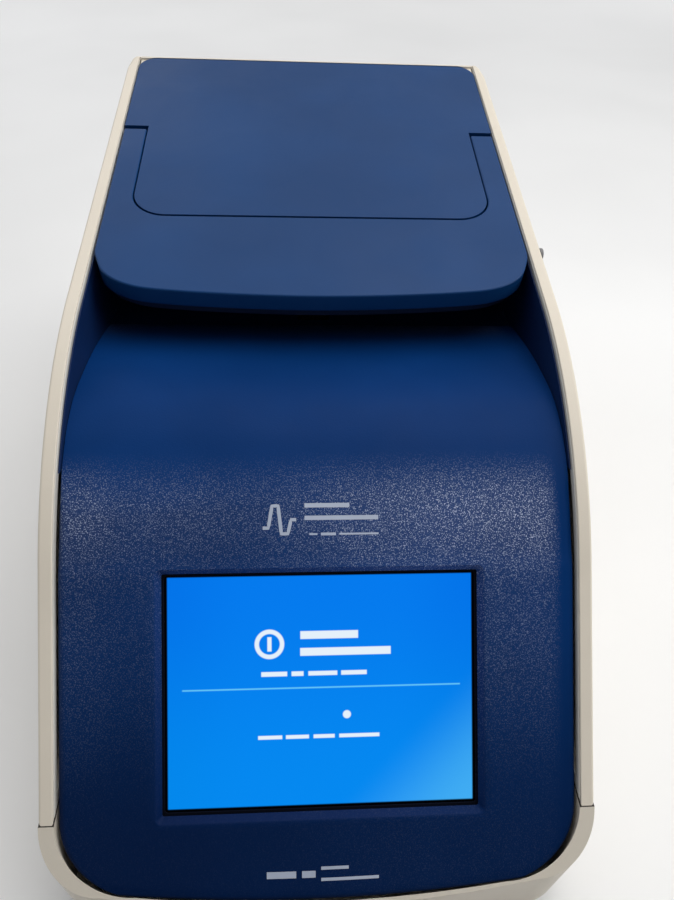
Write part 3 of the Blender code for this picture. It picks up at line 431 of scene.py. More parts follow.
def prism(outline, place, low, high, name="part", mat=None):
    """A flat outline given thickness in a frame."""
    bm = bmesh.new()
    a = [bm.verts.new(place @ Vector((p[0], p[1], low))) for p in outline]
    b = [bm.verts.new(place @ Vector((p[0], p[1], high))) for p in outline]
    bm.faces.new(a)
    bm.faces.new(list(reversed(b)))
    for i in range(len(outline)):
        j = (i + 1) % len(outline)
        bm.faces.new((a[i], b[i], b[j], a[j]))
    return mesh_ob(bm, name, mat)


def loft(rings, name="part", mat=None, tinted=()):
    """A solid through rings of points. The tinted spans get the second material slot."""
    bm = bmesh.new()
    rings = [[bm.verts.new(p) for p in ring] for ring in rings]
    bm.faces.new(rings[0])
    bm.faces.new(list(reversed(rings[-1])))
    for k, (a, b) in enumerate(zip(rings, rings[1:])):
        for i in range(len(a)):
            j = (i + 1) % len(a)
            bm.faces.new((a[i], a[j], b[j], b[i])).material_index = int(k in tinted)
    return mesh_ob(bm, name, mat)


def block(x, y, z, name="part", mat=None, place=ALONG_Z):
    """A box from three (low, high) ranges."""
    spans = (x, y, z)
    bm = bmesh.new()
    bmesh.ops.create_cube(bm, size=1.0)
    bmesh.ops.scale(bm, verts=bm.verts, vec=[high - low for low, high in spans])
    bmesh.ops.translate(bm, verts=bm.verts, vec=[(low + high) / 2 for low, high in spans])
    bmesh.ops.transform(bm, matrix=place, verts=bm.verts)
    return mesh_ob(bm, name, mat)


def about(axis, x, y, z):
    """Frame for a turned part: its axis runs along X, Y or Z through a point."""
    spin = {"X": Matrix.Rotation(math.pi / 2, 4, "Y"),
            "Y": Matrix.Rotation(-math.pi / 2, 4, "X"), "Z": Matrix.Identity(4)}
    return Matrix.Translation((x, y, z)) @ spin[axis]


def lathe(profile, place, segments, name="part", mat=None):
    """Turn an (r, h) profile that starts and ends on the axis, or closes on itself."""
    bm = bmesh.new()
    turns = [2 * math.pi * i / segments for i in range(segments)]
    rings = []
    for r, h in profile:
        if r < 1e-6:
            rings.append([bm.verts.new(place @ Vector((0, 0, h)))])
        else:
            rings.append([bm.verts.new(place @ Vector((r * math.cos(a), r * math.sin(a), h)))
                          for a in turns])
    pairs = list(zip(rings, rings[1:]))
    if profile[0][0] > 1e-6:
        pairs.append((rings[-1], rings[0]))
    for a, b in pairs:
        for i in range(segments):
            j = (i + 1) % segments
            corners = [a[i % len(a)], a[j % len(a)], b[j % len(b)], b[i % len(b)]]
            corners = [v for k, v in enumerate(corners) if v not in corners[:k]]
            if len(corners) > 2:
                bm.faces.new(corners)
    return mesh_ob(bm, name, mat)


def drill(radius, low, high, place):
    """A plain round cutter."""
    return lathe([(0, low), (radius, low), (radius, high), (0, high)], place, 32)


def rounded_puck(name, place, radius, height, edge, mat, segments):
    """A turned disc or pin with rolled edges, centred on its frame."""
    steps = [math.pi / 10 * i for i in range(6)]
    top = [(radius - edge + edge * math.sin(a), height / 2 - edge + edge * math.cos(a))
           for a in steps]
    low = [(r, -h) for r, h in reversed(top)]
    return lathe([(0, height / 2)] + top + low + [(0, -height / 2)], place, segments, name, mat)


def cut(ob, *others, op="DIFFERENCE"):
    for other in others:
        mod = ob.modifiers.new(op.lower(), "BOOLEAN")
        mod.operation = op
        mod.solver = "EXACT"
        mod.object = other
    return ob


def evaluated_mesh(ob):
    bpy.context.view_layer.update()
    depsgraph = bpy.context.evaluated_depsgraph_get()
    return bpy.data.meshes.new_from_object(ob.evaluated_get(depsgraph))


def bake(ob):
    """Apply the modifiers."""
    mesh = evaluated_mesh(ob)
    old = ob.data
    ob.modifiers.clear()
    ob.data = mesh
    mesh.name = ob.name
    bpy.data.meshes.remove(old)
    return ob


def tidy(ob):
    """Weld close points and dissolve flat edges left by the cuts."""
    bm = bmesh.new()
    bm.from_mesh(ob.data)
    bmesh.ops.remove_doubles(bm, verts=bm.verts, dist=0.004 * MM)
    bmesh.ops.dissolve_limit(bm, angle_limit=math.radians(0.4), verts=bm.verts, edges=bm.edges)
    bmesh.ops.recalc_face_normals(bm, faces=bm.faces)
    bm.to_mesh(ob.data)
    bm.free()


def add_bevel(ob, width, segments, angle):
    mod = ob.modifiers.new("edges", "BEVEL")
    mod.width = width * MM
    mod.segments = segments
    mod.limit_method = "ANGLE"
    mod.angle_limit = math.radians(angle)
    mod.use_clamp_overlap = True


def add_even_normals(ob):
    ob.modifiers.new("even_normals", "WEIGHTED_NORMAL").keep_sharp = True


def hang(ob, body, node=None):
    """Ride on a body, in place of a frame node if one is named."""
    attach(ob, body)
    if node:
        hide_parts(node)


def done(ob, body, node=None, width=0.0, seg=3, angle=38, sharp=34, clean=True):
    """Apply, round the edges by width, shade and hang the piece on its body."""
    if ob.modifiers:
        bake(ob)
    if clean:
        tidy(ob)
    if width:
        add_bevel(ob, width, seg, angle)
        bake(ob)
    shade(ob.data, sharp)
    add_even_normals(ob)
    hang(ob, body, node)


def joined(name, parts, body):
    """Several meshes of one material as one piece."""
    bm = bmesh.new()
    for part in parts:
        bm.from_mesh(part.data)
    mesh = bpy.data.meshes.new(name)
    bm.to_mesh(mesh)
    bm.free()
    mesh.materials.append(parts[0].data.materials[0])
    for part in parts:
        bpy.data.objects.remove(part, do_unlink=True)
    ob = new_object(name, mesh)
    shade(mesh, 34)
    hang(ob, body)


# ---------------------------------------------------------- curves and slopes
def smooth(start, end, v):
    t = min(1.0, max(0.0, (v - start) / (end - start)))
    return t * t * (3 - 2 * t)


def lid_z(y):
    return LID_Z0 + math.tan(LID_SLOPE) * (y - LID_Y0)


def on_lid(s, n):
    """(y, z) of a point on the lid slope."""
    return (LID_Y0 + s * math.cos(LID_SLOPE) - n * math.sin(LID_SLOPE),
            LID_Z0 + s * math.sin(LID_SLOPE) + n * math.cos(LID_SLOPE))


def s_of(y):
    return (y - LID_Y0) / math.cos(LID_SLOPE)


def side_z(y):
    """Height of the casing's side outline: front slope, bend, lid slope."""
    if y <= BEND_Y0:
        return y + FACE_RISE
    if y <= BEND_Y1:
        return BEND_C[1] + math.sqrt(BEND_R ** 2 - (y - BEND_C[0]) ** 2)
    return lid_z(y)


def curve_through(points, step):
    """Uniform Catmull-Rom through 2-D points, resampled about every step."""
    out = []
    last = len(points) - 1
    for i in range(last):
        p0, p1, p2, p3 = (Vector(points[k]) for k in
                          (max(i - 1, 0), i, i + 1, min(i + 2, last)))
        count = max(1, int(round((p2 - p1).length / step)))
        for j in range(count):
            t = j / count
            out.append(0.5 * ((2 * p1) + (p2 - p0) * t
                              + (2 * p0 - 5 * p1 + 4 * p2 - p3) * t * t
                              + (3 * p1 - p0 - 3 * p2 + p3) * t ** 3))
    out.append(Vector(points[-1]))
    return [tuple(v) for v in out]


def round_rect(w, h, r, steps=6, cx=0.0, cy=0.0):
    """Width, height, corner radius, steps per corner, centre."""
    points = []
    for x, y, start in ((w / 2 - r, h / 2 - r, 0), (-w / 2 + r, h / 2 - r, 90),
                        (-w / 2 + r, -h / 2 + r, 180), (w / 2 - r, -h / 2 + r, 270)):
        for i in range(steps + 1):
            a = math.radians(start + 90 * i / steps)
            points.append((cx + x + r * math.cos(a), cy + y + r * math.sin(a)))
    return points


HANDLE_PIVOT = on_lid(HANDLE_S, HANDLE_N)

# --------------------------------------------------------------------- casing
# rear corner (y, z), from the lid down
REAR_STATIONS = [(202.5, 243.9), (207.0, 243.4), (211.5, 241.0), (216.0, 236.6), (223.0, 226.0),
                 (230.5, 207.0), (236.8, 180.0), (240.8, 150.0), (HALF_D, 120.0)]
REAR_CURVE = curve_through(REAR_STATIONS, step=2.2)

# low step along a side panel's inner edge, greyed as painted shade: inset from the outline, x
PANEL_STEP = [(1.05, 112.4), (1.1, 112.15), (1.3, PANEL_IN), (4.2, PANEL_IN), (4.5, 112.2),
              (4.55, 112.8), (5.0, 113.2), (5.0, 115.5)]


def panel_outline(inset):
    """Side outline (y, z), front to back, drawn in by an inset."""
    bend = BEND_Y1 - BEND_Y0
    ys = [-200.0, -180.0, -160.0, BEND_Y0] + [BEND_Y0 + bend * i / 40 for i in range(1, 41)]
    ys += [40.0, 120.0, 190.0]
    base = SEAM_Z + 0.4
    points = [(base - FACE_RISE, base)] + [(y, side_z(y)) for y in ys]
    points += REAR_CURVE + [(HALF_D, base)]
    if not inset:
        return points
    out = []
    for i in range(len(points)):
        a, b, c = (Vector(points[k]) for k in (i - 1, i, (i + 1) % len(points)))
        d1, d2 = (b - a).normalized(), (c - b).normalized()
        n1, n2 = Vector((d1.y, -d1.x)), Vector((d2.y, -d2.x))
        mitre = (n1 + n2).normalized()
        out.append(tuple(b + mitre * (inset / max(0.35, mitre.dot(n1)))))
    return out


def side_panel(name, side):
    """A moulded half shell: rounded rim, and a low step along its inner edge, greyed as painted
    shade.

    Behind the lid the rim passes over to the fuller rounding of the rear corner.
    """
    def rim(r):
        return [(r - r * math.sin(math.pi / 12 * i), HALF_W - r + r * math.cos(math.pi / 12 * i))
                for i in range(7)]

    tail = [(0.5 - 0.5 * math.cos(math.pi / 8 * i), 112.9 - 0.5 * math.sin(math.pi / 8 * i))
            for i in range(5)] + PANEL_STEP
    slim, full = rim(1.4) + tail, rim(5.0) + tail
    first = len(slim) - len(PANEL_STEP)
    rings = []
    for (inset, x), (inset2, x2) in zip(slim, full):
        ring = []
        for (y, z), (y2, z2) in zip(panel_outline(inset), panel_outline(inset2)):
            w = smooth(192.0, 203.0, y) * smooth(SEAM_Z - 2.0, SEAM_Z + 1.0, z)
            ring.append((side * (x + (x2 - x) * w), y + (y2 - y) * w, z + (z2 - z) * w))
        rings.append(ring)
    panel = loft(rings, name, BEIGE, tinted=range(first, first + 5))
    panel.data.materials.append(STEP_SHADE.m)
    done(panel, "housing", name, clean=False)


FLOOR_SCREWS = ((-60, -120), (60, -120), (-60, 160), (60, 160), (0, -200), (0, 20))
FEET = ((-96, -202), (96, -202), (-96, 216), (96, 216))


def tray_outline(inset=0.0):
    """(x, y): small rear corners, large front corners, a slightly bowed front."""
    w, back, r = HALF_W - inset, HALF_D - inset, 5.0
    corner_w, corner_d, bow = 25.0, 21.0, 5.5
    quarter = [math.pi / 12 * i for i in range(7)]
    rear = [(w - r + r * math.cos(a), back - r + r * math.sin(a)) for a in quarter]
    rear += [(-x, y) for x, y in reversed(rear)]
    front = []
    for i in range(23):
        a = math.pi / 2 * i / 22
        front.append((-w + corner_w * (1 - math.cos(a)), -216.0 - (corner_d - inset) * math.sin(a)))
    for x in (-88, -80, -70, -60, -50, -40, -30, -20, -10, 0.0):
        front.append((x, -HALF_D + inset + bow * (x / (HALF_W - corner_w)) ** 2))
    return rear + front + [(-x, y) for x, y in reversed(front[:-1])]


def fascia_half_width(t):
    """t is the distance up the face from the screen's centre."""
    if t > NARROW_T:
        return FASCIA_HALF_W
    down = (NARROW_T - t) / (NARROW_T - LIP_T)
    return LIP_HALF_W + (FASCIA_HALF_W - LIP_HALF_W) * math.sqrt(max(0.0, 1 - down ** 2))


def upper_pocket():
    """Room in the tray's rim for the fascia (x, y)."""
    half = [(PANEL_IN, HALF_D - SKIN)]
    for i in range(17):
        t = NARROW_T - (NARROW_T - LIP_T) * math.sin(math.pi / 2 * i / 16)
        half.append((fascia_half_width(t) + 0.8, SCREEN_Y + (t - 0.6) * COS_45))
    for x in (70.0, 62.0, 52.0, 42.0, 30.0, 15.0, 0.0):
        half.append((x, SCREEN_Y - (89.7 - LIP_BOW * (x / LIP_HALF_W) ** 2) * COS_45))
    return half + [(-x, y) for x, y in reversed(half[:-1])]


def base_tray():
    floor_low = 6.0
    tray = prism(tray_outline(), ALONG_Z, floor_low, SEAM_Z, "base_tray", BEIGE_TRAY)
    slope = (Matrix.Translation((0, SEAM_Z - FACE_RISE, SEAM_Z))
             @ Matrix.Rotation(math.radians(45), 4, "X"))
    cut(tray, prism(tray_outline(SKIN), ALONG_Z, floor_low + SKIN, 35.0),
        prism(upper_pocket(), ALONG_Z, 34.0, 80.0),
        block((-140, 140), (-120, 60), (0, 80), place=slope))
    for i in range(7):
        cut(tray, prism(round_rect(72, 4, 1.9, 5, 0, 59 + 9 * i), ALONG_Z, 4, 11))
    for x, y in FLOOR_SCREWS:
        cut(tray, drill(4.2, -4, 2.2, about("Z", x, y, 6.2)))
    # painted shadow: dark top edge along the seam
    tray.data.materials.append(SEAM_SHADOW.m)
    tray_top = max(v.co.z for v in tray.data.vertices)
    for face in tray.data.polygons:
        if face.normal.z > 0.95 and face.center.z > 0.995 * tray_top:
            face.material_index = 1
    done(tray, "housing", "base_tray", width=0.6, angle=50)


def floor_screws():
    """Pan heads with a cross recess, sunk in the floor."""
    head = [(0, -1.6), (1.6, -1.5), (2.9, -0.9), (3.3, 0.0), (3.3, 0.6), (0, 0.6)]
    for i, (x, y) in enumerate(FLOOR_SCREWS, 1):
        place = about("Z", x, y, 8.3)
        screw = lathe(head, place, 32, f"floor_screw_{i}", STEEL)
        for k in range(2):
            cut(screw, block((-2.0, 2.0), (-0.45, 0.45), (-3, -0.6),
                             place=place @ Matrix.Rotation(math.pi / 2 * k + 0.4, 4, "Z")))
        done(screw, "housing")


def feet():
    outer = [(0, 0), (9.0, 0), (9.6, 0.15), (9.95, 0.6), (10.05, 1.2), (10.3, 3.2),
             (10.9, 3.7), (11.0, 4.2), (11.0, 5.7), (0, 5.7)]
    dish = [(0, -1), (6.6, -1), (6.4, 0.5), (5.8, 0.8), (0, 0.9)]
    for i, (x, y) in enumerate(FEET, 1):
        place = about("Z", x, y, 0)
        foot = lathe(outer, place, 56, f"foot_{i}", RUBBER)
        cut(foot, lathe(dish, place, 48))
        done(foot, "housing", f"foot_{i}", sharp=40)


def side_plug():
    plug = rounded_puck("side_plug", about("X", HALF_W + 1.35, 15.0, 207.2), radius=3.3,
                        height=2.1, edge=0.7, mat=GREY, segments=40)
    done(plug, "housing", "side_plug")


# ---------------------------------------------------------- fascia and screen
# middle line above the flat face (y, z), back to the deck
FASCIA_BEND = [(SCREEN_Y + 45 * COS_45, SCREEN_Z + 45 * COS_45),
               (SCREEN_Y + 52 * COS_45, SCREEN_Z + 52 * COS_45),
               (-136, 146.2), (-127, 153.7), (-118, 160.4), (-108, 166.9), (-97, 172.9),
               (-86, 177.3), (-71, 180.2), (-52, 179.4), (-26, 175.6), (0, 169.2), (7.8, 166.6)]


def fascia_rows():
    """(y, z, t) of the outer surface's middle line, lip to deck. t stays 60 above the flat."""
    flat = [LIP_T + 4.6 * (1 - math.cos(math.pi / 2 * i / 14)) for i in range(15)]
    flat += [-77.5, -74.5, -71, -67, -63.5, -60, -56, NARROW_T]
    flat += [NARROW_T + 4.0 * i for i in range(1, 26)]
    bend = [p for p in curve_through(FASCIA_BEND, step=2.0) if p[0] > SCREEN_Y + 49.5 * COS_45]
    return ([(SCREEN_Y + t * COS_45, SCREEN_Z + t * COS_45, t) for t in flat]
            + [(y, z, 60.0) for y, z in bend])


FASCIA_ROWS = fascia_rows()


def fascia_width_at(y, t):
    back = (FASCIA_BACK_HALF_W - FASCIA_HALF_W) * smooth(-122, -110, y)
    return fascia_half_width(t) + back


def fascia_point(x, y, z, t):
    """Surface point: a bowed lower lip and edges that roll off."""
    rim = 3.5
    w = fascia_width_at(y, t)
    across = x / w
    down = LIP_BOW * (1 - across * across) * (1 - smooth(LIP_T, NARROW_T, t))
    edge = min(max(0.0, w - abs(x)), (t - LIP_T) * 1.15)
    roll = rim * (1 - smooth(-128, -104, y))
    drop = 0.0
    if edge < rim:
        e = 1 - edge / rim
        drop = roll * (1 - math.sqrt(max(0.0, 1 - e * e))) * 0.85
    return Vector((x, y - down * COS_45 + drop * COS_45, z - down * COS_45 - drop * COS_45))


def fascia_shell():
    rim, rim_steps = 3.9, 12
    bm = bmesh.new()
    grid = []
    for y, z, t in FASCIA_ROWS:
        w = fascia_width_at(y, t)
        half = [i / 13 * (w - rim) for i in range(14)]
        half += [w - rim * (1 - math.sin(math.pi / 2 * k / rim_steps))
                 for k in range(1, rim_steps + 1)]
        xs = [-x for x in reversed(half[1:])] + half
        grid.append([bm.verts.new(fascia_point(x, y, z, t)) for x in xs])
    for a, b in zip(grid, grid[1:]):
        for i in range(len(a) - 1):
            bm.faces.new((a[i], a[i + 1], b[i + 1], b[i]))
    bmesh.ops.scale(bm, verts=bm.verts, vec=(MM, MM, MM))
    mesh = bpy.data.meshes.new("front_fascia")
    bm.to_mesh(mesh)
    bm.free()
    ob = new_object("front_fascia", mesh)
    mesh.materials.append(BLUE_FACE.m)
    mod = ob.modifiers.new("shell", "SOLIDIFY")
    mod.thickness = SKIN * MM
    mod.offset = -1.0
    mod.use_even_offset = False
    return bake(ob)


# flare of the screen window: growth on each side, corner radius, n
WINDOW_LEVELS = ((0.0, 0.9, -8.0), (0.0, 0.9, -2.9), (0.5, 1.2, -2.5), (2.0, 2.2, -0.45),
                 (2.5, 2.6, -0.12), (3.4, 3.2, 0.10), (3.4, 3.2, 3.0))


def front_fascia():
    fascia = fascia_shell()
    rings = [[FACE_FRAME @ Vector((x, s, n))
              for x, s in round_rect(WINDOW_W + 2 * grow, WINDOW_H + 2 * grow, r)]
             for grow, r, n in WINDOW_LEVELS]
    cut(fascia, loft(rings))
    done(fascia, "housing", "front_fascia", clean=False, sharp=30)


def profile_at(d):
    """(y, z, t) at distance d up the surface from the screen's centre."""
    if d <= 52:
        return (SCREEN_Y + d * COS_45, SCREEN_Z + d * COS_45, d)
    base = next(i for i, row in enumerate(FASCIA_ROWS) if row[2] >= 0)
    total = FASCIA_ROWS[base][2]
    for a, b in zip(FASCIA_ROWS[base:], FASCIA_ROWS[base + 1:]):
        step = math.hypot(b[0] - a[0], b[1] - a[1])
        if total + step >= d:
            k = (d - total) / step
            return tuple(p + (q - p) * k for p, q in zip(a, b))
        total += step


def on_fascia(x, d, n):
    p = fascia_point(x, *profile_at(d))
    along_x = fascia_point(x + 0.2, *profile_at(d)) - p
    along_d = fascia_point(x, *profile_at(d + 0.2)) - p
    return p + along_x.cross(along_d).normalized() * n


def ribbon(path, width):
    """A flat printed stroke laid on the fascia along (x, d) points."""
    points = []
    for a, b in zip(path, path[1:]):
        a, b = Vector(a), Vector(b)
        count = max(1, int((b - a).length / 1.2))
        points += [a + (b - a) * i / count for i in range(count)]
    points.append(Vector(path[-1]))
    bm = bmesh.new()
    top, low = [], []
    for i, p in enumerate(points):
        ahead = (points[min(i + 1, len(points) - 1)] - points[max(i - 1, 0)]).normalized()
        side = Vector((-ahead.y, ahead.x)) * width / 2
        for row, n in ((top, 0.07), (low, -0.12)):
            row.append([bm.verts.new(on_fascia(q.x, q.y, n)) for q in (p + side, p - side)])
    for i in range(len(points) - 1):
        (a, b), (c, d) = top[i], top[i + 1]
        (e, f), (g, h) = low[i], low[i + 1]
        for corners in ((a, b, d, c), (e, g, h, f), (a, c, g, e), (b, f, h, d)):
            bm.faces.new(corners)
    for i in (0, -1):
        (a, b), (e, f) = top[i], low[i]
        bm.faces.new((a, e, f, b))
    return mesh_ob(bm, mat=PRINT)


# printed heating curve above the screen (x, d)
MARK_CURVE = ((-25.0, 71.0), (-22.6, 71.0), (-21.0, 80.5), (-18.4, 80.5), (-17.0, 68.5),
              (-14.2, 68.5), (-12.8, 74.5), (-10.6, 74.5))
# printed bars: start x, end x, d, width
UPPER_BARS = ((-7.0, 12.5, 80.6, 1.9), (-7.0, 25.0, 75.2, 1.9), (-5.0, -1.5, 68.2, 0.8),
              (0.0, 6.5, 68.2, 1.2), (8.0, 25.0, 68.2, 0.8))
LOWER_BARS = ((-24.0, -11.5, -73.4, 2.4), (-9.0, -3.2, -73.4, 2.4), (-0.8, 11.0, -71.4, 1.1),
              (-0.8, 24.0, -75.4, 1.1))


def printed_marks():
    def bars(table):
        return [ribbon([(x0, d), (x1, d)], width) for x0, x1, d, width in table]

    joined("printed_mark_upper", [ribbon(MARK_CURVE, 1.5)] + bars(UPPER_BARS), "housing")
    joined("printed_mark_lower", bars(LOWER_BARS), "housing")


def display():
    """Gasket and glass behind the screen window."""
    gasket = prism(round_rect(146, 112, 2.5, 5, 0, -1), FACE_FRAME, -4.6, -3.8,
                   "display_gasket", GASKET)
    cut(gasket, prism(round_rect(134.6, 101.4, 1.2, 5), FACE_FRAME, -6, 0))
    done(gasket, "housing", "display_gasket", width=0.2, seg=2)
    glass = prism(round_rect(146, 112, 2.0, 5, 0, -1), FACE_FRAME, -6.5, -4.9,
                  "touch_glass", SCREEN_GLASS)
    done(glass, "housing", "touch_glass", width=0.3, seg=2)


# ----------------------------------------------------------------- rear panel
def lid_radius(x):
    """Radius of the lid's rear barrel, less towards its rounded ends.

    Of the radius's two legs, the foot stays and the other shrinks.
    """
    foot = 18.97
    out = math.sqrt(BARREL_R ** 2 - foot ** 2)
    flat = LID_HALF_W - LID_CORNER
    if x > flat:
        out += math.sqrt(max(0.0, LID_CORNER ** 2 - (x - flat) ** 2)) - LID_CORNER
    return math.hypot(foot, out)


def barrel(half, grow):
    """A cutter of the barrel's shape about the hinge, half its length either way."""
    end = min(half, LID_HALF_W)
    xs = [LID_HALF_W - LID_CORNER * (1 - math.sin(math.pi / 2 * i / 10)) for i in range(10)]
    profile = [(lid_radius(x) + grow, x) for x in xs if x < end - 0.02]
    profile.append((lid_radius(end) + grow, half))
    mirrored = [(r, -x) for r, x in reversed(profile)]
    return lathe([(0.0, -half)] + mirrored + profile + [(0.0, half)],
                 about("X", 0, *PIVOT), 96)


# rear openings: width, height, corner, corner steps, centre x, centre z
EXHAUST_SLOTS = [(40, 4, 1.9, 5, -22 + 44 * (i % 2), 76 + 8 * (i // 2)) for i in range(18)]
PORT_HOLES = [(32, 25, 1.6, 4, -83, 88.5),      # power inlet
              (22, 20, 1.2, 4, *SWITCH),
              (18, 16, 0.8, 4, 75, 86),         # ethernet
              (16, 9, 0.8, 4, 74, 106.5)]       # usb


def rear_panel():
    outer = REAR_CURVE + [(HALF_D, SEAM_Z + 0.5)]
    inner = []
    for i, p in enumerate(outer):
        d = Vector(outer[min(i + 1, len(outer) - 1)]) - Vector(outer[max(i - 1, 0)])
        d.normalize()
        inner.append(tuple(Vector(p) + Vector((d.y, -d.x)) * SKIN))
    half = PANEL_IN - 0.4
    panel = prism(outer + inner[::-1], ALONG_X, -half, half, "rear_panel", BEIGE)
    for low in (-111.0, 96.0):
        cut(panel, block((low, low + 15.0), (199, 220.0), (-8.0, -1.2), place=LID_FRAME),
            op="UNION")
    # clearance for the lid, closed and open
    opened = (Matrix.Translation((0, *PIVOT)) @ Matrix.Rotation(math.radians(-LID_OPEN), 4, "X")
              @ Matrix.Translation((0, -PIVOT[0], -PIVOT[1])) @ LID_FRAME)
    cut(panel, barrel(111.4, 0.8),
        block((-111.4, 111.4), (90, 198), (-20.0, 0.7), place=opened))
    for opening in EXHAUST_SLOTS + PORT_HOLES:
        cut(panel, prism(round_rect(*opening), ALONG_Y, 225, 250))
    done(panel, "housing", "rear_panel", width=0.7, angle=40)


# material, slot, outer y, edge width, edge segments
PLASTIC_PORT = (BLACK, "black_plastic", 242.3, 0.5, 3)
METAL_PORT = (ZINC, "steel", 242.2, 0.3, 2)


def connector(name, kind, outline, y, mouth, mouth_y):
    """A block from y to the rear, with a mouth sunk to mouth_y; outlines are (x, z)."""
    mat, slot, outer_y, width, segments = kind
    ob = prism(outline, ALONG_Y, y, outer_y, name, mat)
    cut(ob, prism(mouth, ALONG_Y, mouth_y, 250))
    done(ob, "housing", name, width=width, seg=segments)


def power_inlet():
    mouth = [(-95, 80), (-71, 80), (-71, 91), (-76.5, 97), (-89.5, 97), (-95, 91)]
    connector("power_inlet", PLASTIC_PORT, round_rect(31.4, 24.4, 1.4, 4, -83, 88.5), 222,
              mouth, 227)
    pins = [prism(round_rect(2, 4, 0.5, 4, x, z), ALONG_Y, 226.8, 238, mat=STEEL)
            for x, z in ((-90, 86), (-83, 91), (-76, 86))]
    joined("inlet_pins", pins, "housing")


def power_switch():
    connector("switch_bezel", PLASTIC_PORT, round_rect(21.4, 19.4, 1.6, 5, *SWITCH), 226,
              round_rect(16, 15.6, 0.9, 4, *SWITCH), 228)
    tilt = (Matrix.Translation((SWITCH[0], ROCKER_Y, SWITCH[1]))
            @ Matrix.Rotation(math.radians(8), 4, "X"))
    half, crest, dip = 6.6, 5.2, 1.3
    # (y, z) about the pivot, with a hollow rear face
    profile = [(-2.5, -half), (-2.5, half), (crest, half)]
    profile += [(crest - dip * math.sin(math.pi * i / 14) ** 1.5, half - 2 * half * i / 14)
                for i in range(1, 14)]
    profile.append((crest, -half))
    rocker = prism(profile, tilt @ ALONG_X, -7.4, 7.4, "power_rocker", BLACK)
    cut(rocker, block((-0.45, 0.45), (4.2, 7), (2.4, 5.2), place=tilt))
    done(rocker, "rocker", "power_rocker", width=0.5)
    line = block((-0.4, 0.4), (3.9, 4.5), (2.5, 5.1), mat=PRINT, place=tilt)
    ring = lathe([(1.05, -0.4), (1.45, -0.4), (1.45, 0.4), (1.05, 0.4)],
                 tilt @ about("Y", 0, 4.35, -3.7), 36, mat=PRINT)
    joined("rocker_marks", [line, ring], "rocker")


def ethernet_port():
    left = [(68.6, 80.6), (68.6, 88.4), (71.0, 88.4), (71.0, 90.2), (72.6, 90.2), (72.6, 91.4)]
    right = [(81.4, 80.6), (81.4, 88.4), (79.0, 88.4), (79.0, 90.2), (77.4, 90.2), (77.4, 91.4)]
    connector("ethernet_port", METAL_PORT, round_rect(17.2, 15.2, 0.8, 4, 75, 86), 222,
              left[:1] + right + left[:0:-1], 230)
    contacts = [block((71.4 + i * 1.02, 71.8 + i * 1.02), (229.6, 240), (81.6, 82.0), mat=STEEL)
                for i in range(8)]
    joined("ethernet_contacts", contacts, "housing")


def usb_port():
    connector("usb_port", METAL_PORT, round_rect(15.2, 8.2, 0.8, 4, 74, 106.5), 226,
              round_rect(12.8, 5.8, 0.5, 3, 74, 106.5), 230)
    tongue = prism(round_rect(11.4, 1.8, 0.4, 3, 74, 107.6), ALONG_Y, 229.6, 240.6,
                   "usb_tongue", BLACK)
    done(tongue, "housing", width=0.2, seg=2)


# -------------------------------------------------------------- deck and block
# lower edge of the deck's cheeks (y, z), back to front
CHEEK_LOW = [(200.0, 163.3), (11.0, 163.3), (-26, 170.2), (-52, 174.0), (-71, 174.4),
             (-86, 171.2), (-97, 166.6)]
# deck openings: width, depth, corner, corner steps, centre x, centre y
DECK_OPENINGS = ((122, 87, 3.0, 5, 0, BLOCK_Y),
                 (18, 23.5, 1.5, 4, 0, 26.75),      # latch
                 (12, 28, 1.5, 4, -HINGE_X, 185),
                 (12, 28, 1.5, 4, HINGE_X, 185))


def deck_cover():
    deck = block((-111.6, 111.6), (8.3, 201.0), (162.0, 165.0), "deck_cover", BLUE_DEEP)
    front = -107
    ys = [front + (BEND_Y1 - front) * i / 30 for i in range(31)] + [200.0]
    cheek = [(y, side_z(y) - 3.2) for y in ys] + CHEEK_LOW
    cut(deck, prism(cheek, ALONG_X, -111.8, -111.2), prism(cheek, ALONG_X, 111.2, 111.8),
        op="UNION")
    for opening in DECK_OPENINGS:
        cut(deck, prism(round_rect(*opening), ALONG_Z, 150, 170))
    done(deck, "housing", "deck_cover", width=0.35, seg=2, angle=50)


def block_surround():
    rim = prism(round_rect(124, 90, 4.0, 6, 0, BLOCK_Y), ALONG_Z, 143.5, 161.6,
                "block_frame", GREY)
    cut(rim, prism(round_rect(108.8, 74.4, 1.0, 4, 0, BLOCK_Y), ALONG_Z, 140, 165))
    done(rim, "housing", "block_frame", width=0.6)
    seal = prism(round_rect(121.2, 86.2, 3.4, 6, 0, BLOCK_Y), ALONG_Z, 162.0, 166.8,
                 "block_seal", RUBBER)
    cut(seal, prism(round_rect(114, 78, 2.0, 5, 0, BLOCK_Y), ALONG_Z, 155, 170))
    done(seal, "housing", "block_seal", width=1.0, seg=4)


# well section (r, height from the block's top)
WELL = [(0, -15.0), (0.9, -14.6), (1.5, -13.6), (2.85, -2.0), (3.0, -0.55), (3.5, 0.0),
        (3.5, 1.0), (0, 1.0)]


def well_plate(name, cx):
    """One zone of the block: two by eight tapered, countersunk wells."""
    plate = block((cx - 8.7, cx + 8.7), (BLOCK_Y - 36.5, BLOCK_Y + 36.5),
                  (BLOCK_TOP - 20, BLOCK_TOP), name, ALU)
    for i in range(2):
        for j in range(8):
            cut(plate, lathe(WELL, about("Z", cx + (i - 0.5) * WELL_PITCH,
                                         BLOCK_Y + (j - 3.5) * WELL_PITCH, BLOCK_TOP), 28))
    done(plate, "housing", name, sharp=30)


